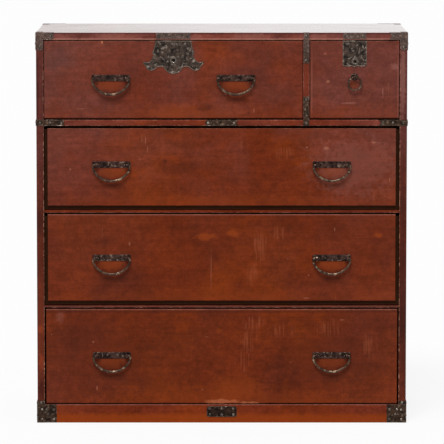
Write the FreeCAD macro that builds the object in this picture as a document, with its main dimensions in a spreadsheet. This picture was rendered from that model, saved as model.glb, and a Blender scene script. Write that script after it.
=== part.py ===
import FreeCAD, Part

import math
import os
import re

# Clothing chest of lacquered wood with iron fittings: a case of four rows, five drawers in it, and the
# locks, bails and ring on the drawers. The front faces -Y, +X is right and +Z is up. The origin lies on
# the floor, under the middle of everything that stands out at the front and the back.

# Driving sizes in millimetres. Rows are counted from the top, so row 4 is the lowest.
SIZES = (
    ("case_width", 910, "outer width, three shaku"),
    ("case_depth", 425, "outer depth, 1.4 shaku"),
    ("side_thickness", 18, "side boards"),
    ("top_thickness", 18, "top board"),
    ("base_thickness", 15, "bottom board of the case"),
    ("back_thickness", 9, "back planks"),
    ("plank_gap", 0.6, "gap between two back planks"),
    ("plank_count", 5, "back planks side by side"),
    ("plinth_height", 45.5, "rail under the lowest drawer"),
    ("plinth_depth", 24, "front to back"),
    ("row4_height", 240, "opening"),
    ("row3_height", 226.5, "opening"),
    ("row2_height", 206, "opening"),
    ("row1_height", 196, "opening"),
    ("thin_rail_height", 9, "rails under rows 2 and 3"),
    ("thin_rail_setback", 5, "behind the front of the case"),
    ("upper_rail_height", 15, "rail under row 1"),
    ("rail_depth", 40, "front to back"),
    ("shelf_thickness", 9, "boards behind the rails"),
    ("housing_depth", 6, "shelf ends let into the sides"),
    ("small_bay_width", 222, "opening of the small drawer"),
    ("divider_thickness", 15, "board between the top drawers"),
    ("board_ease", 0.8, "rounding of the case's front arrises"),
    ("front_thickness", 18, "drawer fronts"),
    ("front_ease", 1, "rounding of a drawer front's arrises"),
    ("box_thickness", 8, "drawer sides and backs"),
    ("tray_thickness", 7, "drawer bottoms"),
    ("tray_rebate", 9, "how far a bottom runs under its front"),
    ("box_gap", 1, "running gap beside a drawer"),
    ("rest_gap", 0.3, "gap under a drawer"),
    ("rear_gap", 0.4, "gap behind a closed drawer"),
    ("box_headroom", 8, "drawer side below the top of its opening"),
    ("back_drop", 14, "drawer back below the drawer side"),
    ("flush_setback", 1, "fronts of rows 1 and 4 behind the case"),
    ("inset_setback", 2, "fronts of rows 2 and 3 behind the case"),
    ("band_recess", 3, "drawer side ends behind the front between them"),
    ("row1_end_reveal", 1.5, "gap at each end of a front"),
    ("row1_low_reveal", 3.6, "gap under the front"),
    ("row1_top_reveal", 2.4, "gap over the front"),
    ("row2_top_reveal", 6, "gap over the front"),
    ("row3_top_reveal", 3.5, "gap over the front"),
    ("row4_end_reveal", 4, "gap at each end of the front"),
    ("row4_low_reveal", 1.5, "gap under the front"),
    ("row4_top_reveal", 3, "gap over the front"),
    ("iron_thickness", 1.2, "plates on the case"),
    ("iron_inset", 0.4, "plate edge inside the board that carries it"),
    ("corner_arm", 44, "front corner iron along each edge"),
    ("corner_lip", 16, "corner iron on the top board"),
    ("rear_arm", 57, "rear corner iron along the back"),
    ("foot_plate_width", 47, "lower corner iron along the plinth"),
    ("foot_plate_rise", 9, "lower corner iron above the plinth"),
    ("strap_length", 69, "end strap along the upper rail"),
    ("strap_wrap", 52, "end strap along the side"),
    ("rail_plate_length", 81, "plate in the middle of the upper rail"),
    ("plinth_plate_length", 74, "plate in the middle of the plinth"),
    ("plinth_plate_height", 26.5, "plate in the middle of the plinth"),
    ("plinth_plate_drop", 14.5, "its lower edge above the floor"),
    ("plinth_plate_round", 5, "its corner radius"),
    ("divider_strap_length", 57, "strap on the divider, past the rail"),
    ("divider_strap_lap", 14, "strap let into the top board"),
    ("notch_depth", 5, "swallow tail in a strap's end"),
    ("strike_half", 42.3, "large strike plate, half its width"),
    ("small_strike_half", 28.5, "small strike plate, half its width"),
    ("strike_drop", 2, "strike plate above the opening"),
    ("nail_head", 3.4, "radius of a domed nail head"),
    ("nail_dome", 1.8, "height of a nail head"),
    ("nail_shank", 1.1, "radius"),
    ("nail_length", 10, "shank under the head"),
    ("nail_gap", 0.06, "hole wider than the shank, in the radius"),
    ("nail_edge", 8, "nail from the edge of a plate"),
    ("nail_row_edge", 6, "nails from the long edges of the plinth plate"),
    ("tail_nail_edge", 9.5, "nail from the end of a plate with a swallow tail"),
    ("handle_spacing", 542, "between the two bails of rows 2 to 4"),
    ("top_handle_spacing", 307, "between the two bails of row 1"),
    ("row1_handle_rise", 102.5, "bail axis above the opening's floor"),
    ("row2_handle_rise", 110.5, "bail axis above the opening's floor"),
    ("row3_handle_rise", 115.5, "bail axis above the opening's floor"),
    ("row4_handle_rise", 122.5, "bail axis above the opening's floor"),
    ("bar_length", 94, "plate behind a bail"),
    ("bar_height", 16, "plate behind a bail"),
    ("bar_thickness", 2, "plate behind a bail"),
    ("bar_round", 3, "corner radius of the plate"),
    ("bar_bevel", 0.8, "bevel of the plate's front rim"),
    ("post_spacing", 73, "between the two posts of a bail"),
    ("post_radius", 4.8, "domed post"),
    ("post_reach", 13.5, "top of the post off the drawer front"),
    ("post_shank", 2.4, "radius of the shank through the front"),
    ("post_gap", 0.05, "hole wider than the shank, in the radius"),
    ("leg_length", 12, "clinched leg behind the front"),
    ("leg_width", 3, "clinched leg"),
    ("leg_thickness", 1.5, "clinched leg"),
    ("bail_offset", 9, "bail axis off the drawer front"),
    ("bail_half", 45.6, "axis of the wire, half across"),
    ("bail_drop", 40, "axis of the wire, below the posts"),
    ("bail_turn", 4.2, "radius where the wire turns into the post"),
    ("bail_shoulder", 24, "radius of the wire at its sides"),
    ("bail_end", 2.4, "wire radius in the post"),
    ("bail_middle", 3.3, "wire radius at the lowest point"),
    ("bail_gap", 0.06, "eye wider than the wire, in the radius"),
    ("ring_radius", 16.5, "ring pull, to the middle of the wire"),
    ("ring_wire", 2.5, "ring pull, wire radius"),
    ("ring_rise", 105.5, "ring's axis above the opening's floor"),
    ("ring_offset", 9, "ring's axis off the drawer front"),
    ("ring_gap", 0.75, "eye wider than the wire, in the radius"),
    ("rosette_radius", 9.5, "round plate behind the ring"),
    ("rosette_thickness", 2, "round plate behind the ring"),
    ("staple_radius", 4.4, "post that carries the ring"),
    ("staple_reach", 14.5, "top of that post off the drawer front"),
    ("lock_plate_thickness", 1.4, "both lock plates"),
    ("lock_plate_rise", 0.4, "lock plate above its drawer front"),
    ("lock_half", 44.5, "large lock plate, half its top edge"),
    ("lock_flank", 52, "half across, above the wings"),
    ("lock_wing", 73, "half across the wing tips"),
    ("lock_flank_drop", 43, "top edge down to the wings"),
    ("lock_tip_drop", 50, "top edge down to the wing tips"),
    ("lock_wing_drop", 73, "top edge down to the lowest of a wing"),
    ("lock_scallop_drop", 63.5, "top edge down to the scallops"),
    ("lock_lobe_half", 22, "middle lobe, half across"),
    ("lock_point_drop", 81, "top edge down to the middle point"),
    ("keyhole_drop", 47, "keyhole under the top of the front"),
    ("small_lock_half", 29.5, "small lock plate, half across"),
    ("small_lock_drop", 60, "its flanks' length"),
    ("small_point_drop", 66, "top edge down to its middle point"),
    ("small_keyhole_drop", 50, "keyhole under the top of the front"),
    ("boss_radius", 7, "raised ring round a keyhole"),
    ("boss_height", 2.2, "raised ring round a keyhole"),
    ("keyhole_width", 7, "slot for the key"),
    ("keyhole_height", 2.4, "slot for the key"),
    ("pocket_skin", 5, "wood left in front of a lock case"),
    ("pocket_gap", 0.2, "round a lock case"),
    ("lock_case_half", 28, "large lock case, half across"),
    ("small_case_half", 22, "small lock case, half across"),
    ("lock_case_top", 14, "lock case under the top of the front"),
    ("lock_case_height", 48, "lock case"),
    ("lock_case_wall", 1.5, "lock case"),
    ("bolt_half", 9, "bolt, half across"),
    ("bolt_foot_half", 15, "foot of the bolt, half across"),
    ("bolt_foot_height", 10, "foot of the bolt"),
    ("bolt_thickness", 6, "bolt, front to back"),
    ("bolt_travel", 8, "how far the bolt rises"),
    ("bolt_shy", 1, "withdrawn bolt under the top of the front"),
    ("bolt_gap", 0.4, "round the bolt"),
    ("mortise_depth", 9, "hole in the top board for the bolt"),
    ("overrun", 2, "how far a cut runs past a face"),
)
ALIASES = {alias for alias, _, _ in SIZES}

# Places worked out from the sizes, each a sum of named sizes or of the places before it.
PLACES = {
    "case_half": "case_width / 2",
    "inner_half": "case_half - side_thickness",
    "front_reach": "post_reach - flush_setback",
    "rear_reach": "iron_thickness + nail_dome",
    "case_front": "(front_reach - rear_reach) / 2 - case_depth / 2",
    "case_back": "case_front + case_depth",
    "back_inside": "case_back - back_thickness",
    "shelf_front": "case_front + rail_depth",
    "thin_rail_front": "case_front + thin_rail_setback",
    "row4_floor": "plinth_height",
    "row4_ceiling": "row4_floor + row4_height",
    "row3_floor": "row4_ceiling + thin_rail_height",
    "row3_ceiling": "row3_floor + row3_height",
    "row2_floor": "row3_ceiling + thin_rail_height",
    "row2_ceiling": "row2_floor + row2_height",
    "row1_floor": "row2_ceiling + upper_rail_height",
    "row1_ceiling": "row1_floor + row1_height",
    "case_height": "row1_ceiling + top_thickness",
    "divider_right": "inner_half - small_bay_width",
    "divider_left": "divider_right - divider_thickness",
    "divider_middle": "(divider_left + divider_right) / 2",
    "top_drawer_middle": "(divider_left - inner_half) / 2",
    "small_drawer_middle": "(inner_half + divider_right) / 2",
    "flush_face": "case_front + flush_setback",
    "inset_face": "case_front + inset_setback",
    "lock_case_front": "flush_face + pocket_skin",
    "lock_case_back": "flush_face + front_thickness",
    "bolt_front": "lock_case_front + lock_case_wall + bolt_gap",
    "bolt_back": "bolt_front + bolt_thickness",
}

# Nails of a lower corner iron, across from the outer edge and up, as shares of the plate.
foot_nail_shares = ((0.24, 0.72), (0.47, 0.73), (0.86, 0.72), (0.55, 0.47), (0.24, 0.18), (0.86, 0.18))

# Outline of the large lock plate between its named corners, as shares of the spans there.
foot_share = 0.4
lobe_drop_share = 0.15
wing_end_share = 0.25
flank_step_shares = ((0.8, 0.6), (0.25, 0.86))
flank_arc_shares = ((0.2, 0.3), (0.85, 0.75), (0.78, 0.9))
shoulder_arc_shares = (0.55, 0.12)
tip_arc_shares = (0.02, 0.3)
wing_arc_share = 0.25
lobe_arc_shares = (0.62, 0.72)

# Outline of the small lock plate's lower edge, as shares of its half width and its dip.
brace_shares = (0.35, 0.35)
brace_outer_shares = (0.7, 0.55)
brace_inner_shares = (0.14, 0.5)

# Height of a post's dome in its radius, and the flat of the rosette in its radius.
post_dome_share = 0.8
rosette_flat_share = 0.8

# How near two planes count as one, in the overrun of a cut.
same_plane_share = 0.01

doc = FreeCAD.newDocument("clothing_chest")
sheet = doc.addObject("Spreadsheet::Sheet", "Sizes")
KEPT = []


def fill_sheet():
    """Writes the driving sizes to the sheet, one named cell each."""
    for row, (alias, size, note) in enumerate(SIZES, 1):
        sheet.set(f"A{row}", alias)
        sheet.set(f"B{row}", str(size))
        sheet.set(f"C{row}", note)
        sheet.setAlias(f"B{row}", alias)
    doc.recompute()


def bound(text):
    """Writes a sum of names as an expression on the sheet's cells."""

    def swap(match):
        word = match.group(0)
        if word in PLACES:
            return f"({bound(PLACES[word])})"
        return f"Sizes.{word}" if word in ALIASES else word

    return re.sub(r"[a-z]\w*", swap, str(text))


def mm(text):
    """The value of a sum of names."""
    return float(sheet.evalExpression(bound(text)))


def block(name, x, y, z):
    """A square-edged block between three pairs of limits, each limit a sum of names."""
    box = doc.addObject("Part::Box", name)
    for axis, side, (low, high) in zip("xyz", ("Length", "Width", "Height"), (x, y, z)):
        box.setExpression(side, bound(f"({high}) - ({low})"))
        box.setExpression(f".Placement.Base.{axis}", bound(low))
    return box


def joined(name, pieces):
    """Several shapes fused to one solid."""
    fuse = doc.addObject("Part::MultiFuse", name)
    fuse.Shapes = pieces
    fuse.Refine = True
    return fuse


def group(name, pieces):
    """Separate solids kept together as one sub-part."""
    compound = doc.addObject("Part::Compound", name)
    compound.Links = pieces
    return compound


def shaped(name, shape):
    """A sub-part whose shape comes from the functions below."""
    feature = doc.addObject("Part::Feature", name)
    feature.Shape = shape
    return feature


def without(name, base, tools):
    """A shape with others cut out of it."""
    cut = doc.addObject("Part::Cut", name)
    cut.Base = base
    cut.Tool = tools[0] if len(tools) == 1 else group(f"{name}_tools", tools)
    return cut


def eased(name, base, radius, keep):
    """Rounds the edges of a shape that keep(edge) picks."""
    doc.recompute()
    picked = [i for i, edge in enumerate(base.Shape.Edges, 1) if keep(edge)]
    fillet = doc.addObject("Part::Fillet", name)
    fillet.Base = base
    fillet.Edges = [(i, mm(radius), mm(radius)) for i in picked]
    return fillet


def at_front(place, lengthwise=None):
    """Picks the edges that lie in the front plane, or only those along one axis."""
    level = mm(place)
    near = mm("overrun") * same_plane_share

    def keep(edge):
        box = edge.BoundBox
        flat = max(abs(box.YMin - level), abs(box.YMax - level)) < near
        runs = {"x": box.XLength, "z": box.ZLength}
        return flat and (lengthwise is None or runs[lengthwise] > 0)

    return keep


def keep(name, item):
    """Gives a finished sub-part its name and lists it for writing."""
    item.Label = name
    KEPT.append(item)
    return item


def turned(shape, outward):
    """Turns a shape that was made along +Z so that it points outward, which is one of six directions."""
    spin = FreeCAD.Rotation(FreeCAD.Vector(0, 0, 1), FreeCAD.Vector(*outward))
    shape.Placement = FreeCAD.Placement(FreeCAD.Vector(), spin)
    return shape


def lathe(points, arcs=()):
    """A solid of revolution round +Z from (radius, height) points. An arc has its middle point given."""
    edges = []
    vectors = [FreeCAD.Vector(radius, 0, height) for radius, height in points]
    for i, (start, end) in enumerate(zip(vectors, vectors[1:] + vectors[:1])):
        if i in arcs:
            middle = FreeCAD.Vector(arcs[i][0], 0, arcs[i][1])
            edges.append(Part.Arc(start, middle, end).toShape())
        else:
            edges.append(Part.LineSegment(start, end).toShape())
    face = Part.Face(Part.Wire(edges))
    return face.revolve(FreeCAD.Vector(), FreeCAD.Vector(0, 0, 1), 360)


def dome_middle(radius, height):
    """The middle point of a quarter-round dome's outline."""
    return radius * math.sin(math.pi / 4), height * math.sin(math.pi / 4)


def nail_shape():
    """A nail along +Z with its domed head above the origin."""
    head, dome, shank, length = (mm(t) for t in ("nail_head", "nail_dome", "nail_shank", "nail_length"))
    outline = [(0, dome), (head, 0), (shank, 0), (shank, -length), (0, -length - shank)]
    return lathe(outline, {0: dome_middle(head, dome)})


def nail_hole_shape():
    """The hole for a nail's shank, from just over the plate to past the point."""
    radius = mm("nail_shank + nail_gap")
    depth = mm("nail_length + nail_shank + nail_gap + overrun")
    hole = Part.makeCylinder(radius, depth, FreeCAD.Vector(0, 0, -depth))
    return hole


NAIL_PLACES = []


def nail_at(x, y, z, outward):
    """Notes a nail through the case: x, y and z are sums of names on the outer face of its plate."""
    NAIL_PLACES.append((mm(x), mm(y), mm(z), outward))


def placed(make, place):
    """A shape along +Z set at a noted place."""
    x, y, z, outward = place
    shape = turned(make(), outward)
    shape.translate(FreeCAD.Vector(x, y, z))
    return shape


def drilled(name, base, places=None):
    """A part with the holes of the nails that reach it, or the part itself if none does."""
    doc.recompute()
    holes = []
    for place in NAIL_PLACES if places is None else places:
        hole = placed(nail_hole_shape, place)
        if hole.BoundBox.intersect(base.Shape.BoundBox) and hole.common(base.Shape).Volume > 0:
            holes.append(hole)
    if not holes:
        return base
    return without(f"{name}_drilled", base, [shaped(f"{name}_holes", Part.Compound(holes))])


def flat_plate(points, arcs, thickness):
    """A plate in the XZ plane, its back at y = 0, from (x, z) points joined by lines and arcs."""
    edges = []
    vectors = [FreeCAD.Vector(x, 0, z) for x, z in points]
    for i, (start, end) in enumerate(zip(vectors, vectors[1:] + vectors[:1])):
        if i in arcs:
            middle = FreeCAD.Vector(arcs[i][0], 0, arcs[i][1])
            edges.append(Part.Arc(start, middle, end).toShape())
        else:
            edges.append(Part.LineSegment(start, end).toShape())
    return Part.Face(Part.Wire(edges)).extrude(FreeCAD.Vector(0, -thickness, 0))


# The wooden case.
def make_sides():
    """Left and right side board with the housings of the shelves and the bottom board."""
    floors = {
        "base": ("case_front + plinth_depth", "row4_floor - base_thickness", "row4_floor"),
        "lower": ("shelf_front", "row3_floor - shelf_thickness", "row3_floor"),
        "middle": ("shelf_front", "row2_floor - shelf_thickness", "row2_floor"),
        "upper": ("shelf_front", "row1_floor - shelf_thickness", "row1_floor"),
    }
    boards = []
    for side, sign in (("left", "-"), ("right", "")):
        near, far = f"{sign}inner_half", f"{sign}case_half"
        x = (far, near) if sign else (near, far)
        board = block(f"{side}_board", x, ("case_front", "back_inside"), ("0", "row1_ceiling"))
        board = eased(f"{side}_board_eased", board, "board_ease", at_front("case_front", "z"))
        deep = f"{sign}(inner_half + housing_depth)"
        over = f"{sign}(inner_half - overrun)"
        slots = [
            block(
                f"{side}_{name}_housing",
                (deep, over) if sign else (over, deep),
                (front, "back_inside + overrun"),
                (low, high),
            )
            for name, (front, low, high) in floors.items()
        ]
        boards.append(without(f"{side}_side_housed", board, slots))
    return boards


def make_shelves():
    """The bottom board and three shelves, their ends in the sides' housings."""
    x = ("-inner_half - housing_depth", "inner_half + housing_depth")
    base = block(
        "bottom_board",
        x,
        ("case_front + plinth_depth", "back_inside"),
        ("row4_floor - base_thickness", "row4_floor"),
    )
    keep("bottom_board", base)
    for name, floor in (("lower", "row3_floor"), ("middle", "row2_floor"), ("upper", "row1_floor")):
        z = (f"{floor} - shelf_thickness", floor)
        keep(f"{name}_shelf", block(f"{name}_shelf", x, ("shelf_front", "back_inside"), z))


def make_rails():
    """Front rails: thin ones set back under rows 2 and 3, flush ones under rows 1 and 4."""
    x = ("-inner_half", "inner_half")
    for name, low, high in (
        ("lower_rail", "row4_ceiling", "row3_floor"),
        ("middle_rail", "row3_ceiling", "row2_floor"),
    ):
        rail = block(f"{name}_strip", x, ("thin_rail_front", "shelf_front"), (low, high))
        keep(name, eased(name, rail, "board_ease", at_front("thin_rail_front", "x")))
    rail = block("upper_rail_strip", x, ("case_front", "shelf_front"), ("row2_ceiling", "row1_floor"))
    rail = eased("upper_rail_eased", rail, "board_ease", at_front("case_front", "x"))
    plinth = block("plinth_strip", x, ("case_front", "case_front + plinth_depth"), ("0", "plinth_height"))
    plinth = eased("plinth_eased", plinth, "board_ease", at_front("case_front", "x"))
    return rail, plinth


def make_top():
    """The top board, over the sides and the back, with a mortise for each lock bolt."""
    board = block(
        "top_board_blank",
        ("-case_half", "case_half"),
        ("case_front", "case_back"),
        ("row1_ceiling", "case_height"),
    )
    board = eased("top_board_eased", board, "board_ease", at_front("case_front", "x"))
    mortises = [
        block(
            f"{name}_mortise",
            (f"{middle} - bolt_half - bolt_gap", f"{middle} + bolt_half + bolt_gap"),
            ("bolt_front - bolt_gap", "bolt_back + bolt_gap"),
            ("row1_ceiling - overrun", "row1_ceiling + mortise_depth"),
        )
        for name, middle in (("large", "top_drawer_middle"), ("small", "small_drawer_middle"))
    ]
    return without("top_board_mortised", board, mortises)


def make_back():
    """Upright planks behind the sides and shelves, a hair apart."""
    planks = []
    pitch = "case_width / plank_count"
    for i in range(round(mm("plank_count"))):
        low = f"-case_half + {i} * {pitch} + plank_gap / 2"
        high = f"-case_half + {i + 1} * {pitch} - plank_gap / 2"
        y = ("back_inside", "case_back")
        planks.append(block(f"back_plank_{i + 1}", (low, high), y, ("0", "row1_ceiling")))
    return group("back_planks", planks)


def make_divider():
    """The board between the two top drawers."""
    board = block(
        "divider_board",
        ("divider_left", "divider_right"),
        ("case_front", "back_inside"),
        ("row1_floor", "row1_ceiling"),
    )
    return board


# Iron fittings of the case. Their lips are let into the top board, which stays level for what stands on it.
LIPS = []


def lip(name, x, y):
    """A lip in the top board, flush with it. The board is cut away for each of them."""
    LIPS.append(block(name, x, y, ("case_height - iron_thickness", "case_height")))
    return LIPS[-1]


def mirrored(low, high, sign):
    """A pair of limits on the right side of the chest, or its mirror image on the left."""
    return (low, high) if sign > 0 else (f"-({high})", f"-({low})")


def end_disc(name, places, radius, sideways=False):
    """The round end of an arm: a disc as thick as the plates, flat on the front or, sideways, on a side."""
    disc = doc.addObject("Part::Cylinder", name)
    if sideways:
        spin = FreeCAD.Rotation(FreeCAD.Vector(0, 1, 0), 90)
    else:
        spin = FreeCAD.Rotation(FreeCAD.Vector(1, 0, 0), -90)
    disc.Placement = FreeCAD.Placement(FreeCAD.Vector(), spin)
    disc.setExpression("Radius", bound(radius))
    disc.setExpression("Height", bound("iron_thickness"))
    for axis, place in zip("xyz", places):
        disc.setExpression(f".Placement.Base.{axis}", bound(place))
    return disc


def make_corner(name, sign, notched):
    """Front corner iron of the top: two arms on the front, two on the side, and a lip on the top board.

    The arms end round, but the notched iron's arm along the top board ends in a swallow tail.
    """
    side = "" if sign > 0 else "-"
    plate = "case_front - iron_thickness"
    band = "(top_thickness - iron_inset)"
    leg = "(side_thickness - iron_inset)"
    level = f"case_height - {band} / 2"
    leg_end = f"case_height - corner_arm + {leg} / 2"
    arm = "case_half - corner_arm"
    arm_end = arm if notched else f"{arm} + {band} / 2"
    front = (plate, "case_front")
    outer = mirrored("case_half", "case_half + iron_thickness", sign)
    z = (f"case_height - {band}", "case_height")
    side_end = f"case_front + corner_arm - {band} / 2"
    pieces = [
        block(f"{name}_front_arm", mirrored(arm_end, "case_half", sign), front, z),
        block(
            f"{name}_front_leg",
            mirrored(f"case_half - {leg}", "case_half", sign),
            front,
            (leg_end, "case_height"),
        ),
        end_disc(f"{name}_front_foot", (f"{side}(case_half - {leg} / 2)", plate, leg_end), f"{leg} / 2"),
        block(f"{name}_side_arm", outer, (plate, side_end), z),
        block(f"{name}_side_leg", outer, (plate, f"case_front + {leg}"), (leg_end, "case_height")),
        end_disc(f"{name}_side_tip", (outer[0], side_end, level), f"{band} / 2", True),
        end_disc(f"{name}_side_foot", (outer[0], f"case_front + {leg} / 2", leg_end), f"{leg} / 2", True),
        lip(
            f"{name}_lip",
            mirrored(arm, "case_half + iron_thickness", sign),
            (plate, "case_front + corner_lip"),
        ),
        lip(
            f"{name}_side_lip",
            mirrored("case_half - corner_lip", "case_half + iron_thickness", sign),
            (plate, "case_front + corner_arm"),
        ),
    ]
    if notched:
        nail_at(f"{side}({arm} + tail_nail_edge)", plate, level, (0, -1, 0))
    else:
        nail_at(f"{side}({arm_end})", plate, level, (0, -1, 0))
        pieces.append(end_disc(f"{name}_front_tip", (f"{side}({arm_end})", plate, level), f"{band} / 2"))
    nail_at(f"{side}(case_half - {leg} / 2)", plate, leg_end, (0, -1, 0))
    face = f"{side}(case_half + iron_thickness)"
    nail_at(face, side_end, level, (sign, 0, 0))
    nail_at(face, f"case_front + {leg} / 2", f"{leg_end} + nail_edge", (sign, 0, 0))
    iron = joined(name, pieces)
    if notched:
        iron = without(f"{name}_notched", iron, [swallow_tail(f"{name}_tail", sign, f"{side}({arm})", *z)])
    return iron


def make_foot_corner(name, sign):
    """Front corner iron of the plinth: a square plate, a tab up the side board, and a plate on the side."""
    front = ("case_front - iron_thickness", "case_front")
    top = "plinth_height + foot_plate_rise"
    pieces = [
        block(
            f"{name}_plate",
            mirrored("case_half - foot_plate_width", "case_half", sign),
            front,
            ("iron_inset", "plinth_height - iron_inset"),
        ),
        block(
            f"{name}_tab",
            mirrored("inner_half + iron_inset", "case_half", sign),
            front,
            ("iron_inset", top),
        ),
        block(
            f"{name}_side",
            mirrored("case_half", "case_half + iron_thickness", sign),
            ("case_front - iron_thickness", "case_front + foot_plate_width"),
            ("iron_inset", top),
        ),
    ]
    side = "" if sign > 0 else "-"
    plate = "case_front - iron_thickness"
    for across, up in foot_nail_shares:
        x = f"{side}(case_half - {across} * foot_plate_width)"
        nail_at(x, plate, f"{up} * plinth_height", (0, -1, 0))
    nail_at(f"{side}(case_half - side_thickness / 2)", plate, f"{top} - nail_edge / 2", (0, -1, 0))
    for y in ("side_thickness", "foot_plate_width - nail_edge"):
        for z in ("2 * nail_edge", f"{top} - nail_edge"):
            nail_at(f"{side}(case_half + iron_thickness)", f"case_front + {y}", z, (sign, 0, 0))
    return joined(name, pieces)


def make_rear_corner(name, sign, upper):
    """Rear corner iron: an arm on the back, its like on the side and, on the top board, a lip."""
    back = ("case_back", "case_back + iron_thickness")
    outer = mirrored("case_half", "case_half + iron_thickness", sign)
    side_y = ("case_back - corner_arm", "case_back + iron_thickness")
    if upper:
        z = ("case_height - top_thickness + iron_inset", "case_height")
    else:
        z = ("iron_inset", "plinth_height")
    pieces = [
        block(f"{name}_arm", mirrored("case_half - rear_arm", "case_half", sign), back, z),
        block(f"{name}_side", outer, side_y, z),
    ]
    if upper:
        pieces.append(
            lip(
                f"{name}_lip",
                mirrored("case_half - rear_arm", "case_half + iron_thickness", sign),
                ("case_back - corner_lip", "case_back + iron_thickness"),
            )
        )
        pieces.append(
            lip(
                f"{name}_side_lip",
                mirrored("case_half - corner_lip", "case_half + iron_thickness", sign),
                side_y,
            )
        )
    side = "" if sign > 0 else "-"
    level = f"(({z[0]}) + ({z[1]})) / 2"
    nail_at(f"{side}(case_half - rear_arm + nail_edge)", "case_back + iron_thickness", level, (0, 1, 0))
    nail_at(f"{side}(case_half - rear_arm / 2)", "case_back + iron_thickness", level, (0, 1, 0))
    face = f"{side}(case_half + iron_thickness)"
    nail_at(face, "case_back - corner_arm + nail_edge", level, (sign, 0, 0))
    return joined(name, pieces)


def swallow_tail(name, sign, end, low, high):
    """The notch in a strap's end, a wedge whose point lies inside the strap."""
    x, z0, z1 = mm(end), mm(low), mm(high)
    depth, over = mm("notch_depth"), mm("overrun")
    middle = (z0 + z1) / 2
    half = (z1 - z0) / 2
    wide = half * (depth + over) / depth
    outside = x - sign * over
    points = [(x + sign * depth, middle), (outside, middle + wide), (outside, middle - wide)]
    wedge = flat_plate(points, {}, mm("iron_thickness + 2 * overrun"))
    wedge.translate(FreeCAD.Vector(0, mm("case_front + overrun"), 0))
    return shaped(name, wedge)


def rail_end(name, sign, end, notched):
    """The end of a plate on the upper rail: a disc to add for a round one, a wedge to cut from the other."""
    if notched:
        return swallow_tail(name, sign, end, "row2_ceiling", "row1_floor")
    middle = ("(row2_ceiling + row1_floor) / 2", "upper_rail_height / 2")
    return end_disc(name, (end, "case_front - iron_thickness", middle[0]), middle[1])


def make_rail_straps():
    """End straps of the upper rail, which wrap round the sides: a round end left, a swallow tail right."""
    straps = []
    z = ("row2_ceiling", "row1_floor")
    level = "(row2_ceiling + row1_floor) / 2"
    plate = "case_front - iron_thickness"
    for name, sign, notched in (("left", -1, False), ("right", 1, True)):
        side = "" if sign > 0 else "-"
        inner = "case_half - strap_length"
        if not notched:
            inner = f"{inner} + upper_rail_height / 2"
        blanks = [
            block(f"{name}_strap_front", mirrored(inner, "case_half", sign), (plate, "case_front"), z),
            block(
                f"{name}_strap_wrap",
                mirrored("case_half", "case_half + iron_thickness", sign),
                (plate, "case_front + strap_wrap"),
                z,
            ),
        ]
        end = rail_end(f"{name}_strap_end", sign, f"{side}({inner})", notched)
        if notched:
            straps.append(without(f"{name}_strap", joined(f"{name}_strap_blank", blanks), [end]))
            last = "strap_length - tail_nail_edge"
        else:
            straps.append(joined(f"{name}_strap", [*blanks, end]))
            last = "strap_length - upper_rail_height / 2"
        for x in (last, "strap_length / 2", "side_thickness / 2"):
            nail_at(f"{side}(case_half - ({x}))", plate, level, (0, -1, 0))
        for y in ("2 * nail_edge", "strap_wrap - nail_edge"):
            nail_at(f"{side}(case_half + iron_thickness)", f"case_front + {y}", level, (sign, 0, 0))
    return group("rail_straps_pair", straps)


def make_rail_plate():
    """Plate in the middle of the upper rail: a round end left, a swallow tail right."""
    z = ("row2_ceiling", "row1_floor")
    level = "(row2_ceiling + row1_floor) / 2"
    plate = "case_front - iron_thickness"
    half = "rail_plate_length / 2"
    low = f"-{half} + upper_rail_height / 2"
    blank = block("rail_plate_blank", (low, half), (plate, "case_front"), z)
    nail_at(low, plate, level, (0, -1, 0))
    nail_at(f"{half} - tail_nail_edge", plate, level, (0, -1, 0))
    rounded = joined("rail_plate_rounded", [blank, rail_end("rail_plate_left_end", 1, low, False)])
    return without("rail_centre_plate_cut", rounded, [rail_end("rail_plate_right_end", -1, half, True)])


def make_plinth_plate():
    """Plate in the middle of the plinth rail, with round corners and six nails."""
    half, low = "plinth_plate_length / 2", "plinth_plate_drop"
    high = "plinth_plate_drop + plinth_plate_height"
    y = ("case_front - iron_thickness", "case_front")
    blank = block("plinth_plate_blank", (f"-{half}", half), y, (low, high))
    doc.recompute()
    for x in (f"-{half} + nail_edge", "0", f"{half} - nail_edge"):
        for z in (f"{low} + nail_row_edge", f"{high} - nail_row_edge"):
            nail_at(x, "case_front - iron_thickness", z, (0, -1, 0))
    return eased("plinth_plate_round", blank, "plinth_plate_round", lambda edge: edge.BoundBox.YLength > 0)


def make_divider_straps():
    """Two straps on the divider's front edge: one laps into the top board, one covers the upper rail."""
    x = ("divider_left + iron_inset", "divider_right - iron_inset")
    front = ("case_front - iron_thickness", "case_front")
    upper_low = "case_height - top_thickness - divider_strap_length"
    upper = joined(
        "divider_upper_strap",
        [
            block("divider_upper_front", x, front, (upper_low, "case_height")),
            lip("divider_upper_lap", x, ("case_front - iron_thickness", "case_front + divider_strap_lap")),
        ],
    )
    lower_high = "row1_floor + divider_strap_length"
    lower = block("divider_lower_strap", x, front, ("row2_ceiling", lower_high))
    plate = "case_front - iron_thickness"
    for z in (f"{upper_low} + nail_edge", "case_height - top_thickness / 2", "row1_floor - nail_edge"):
        nail_at("divider_middle", plate, z, (0, -1, 0))
    nail_at("divider_middle", plate, f"{lower_high} - nail_edge", (0, -1, 0))
    return group("divider_straps_pair", [upper, lower])


def make_strike_plate(name, middle, half):
    """Plate on the front edge of the top board, over a lock."""
    plate = block(
        f"{name}_blank",
        (f"{middle} - {half}", f"{middle} + {half}"),
        ("case_front - iron_thickness", "case_front"),
        ("row1_ceiling + strike_drop", "case_height"),
    )
    for sign in ("-", "+"):
        nail_at(
            f"{middle} {sign} ({half} - nail_edge)",
            "case_front - iron_thickness",
            "case_height - (top_thickness - strike_drop) / 2",
            (0, -1, 0),
        )
    return plate


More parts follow.
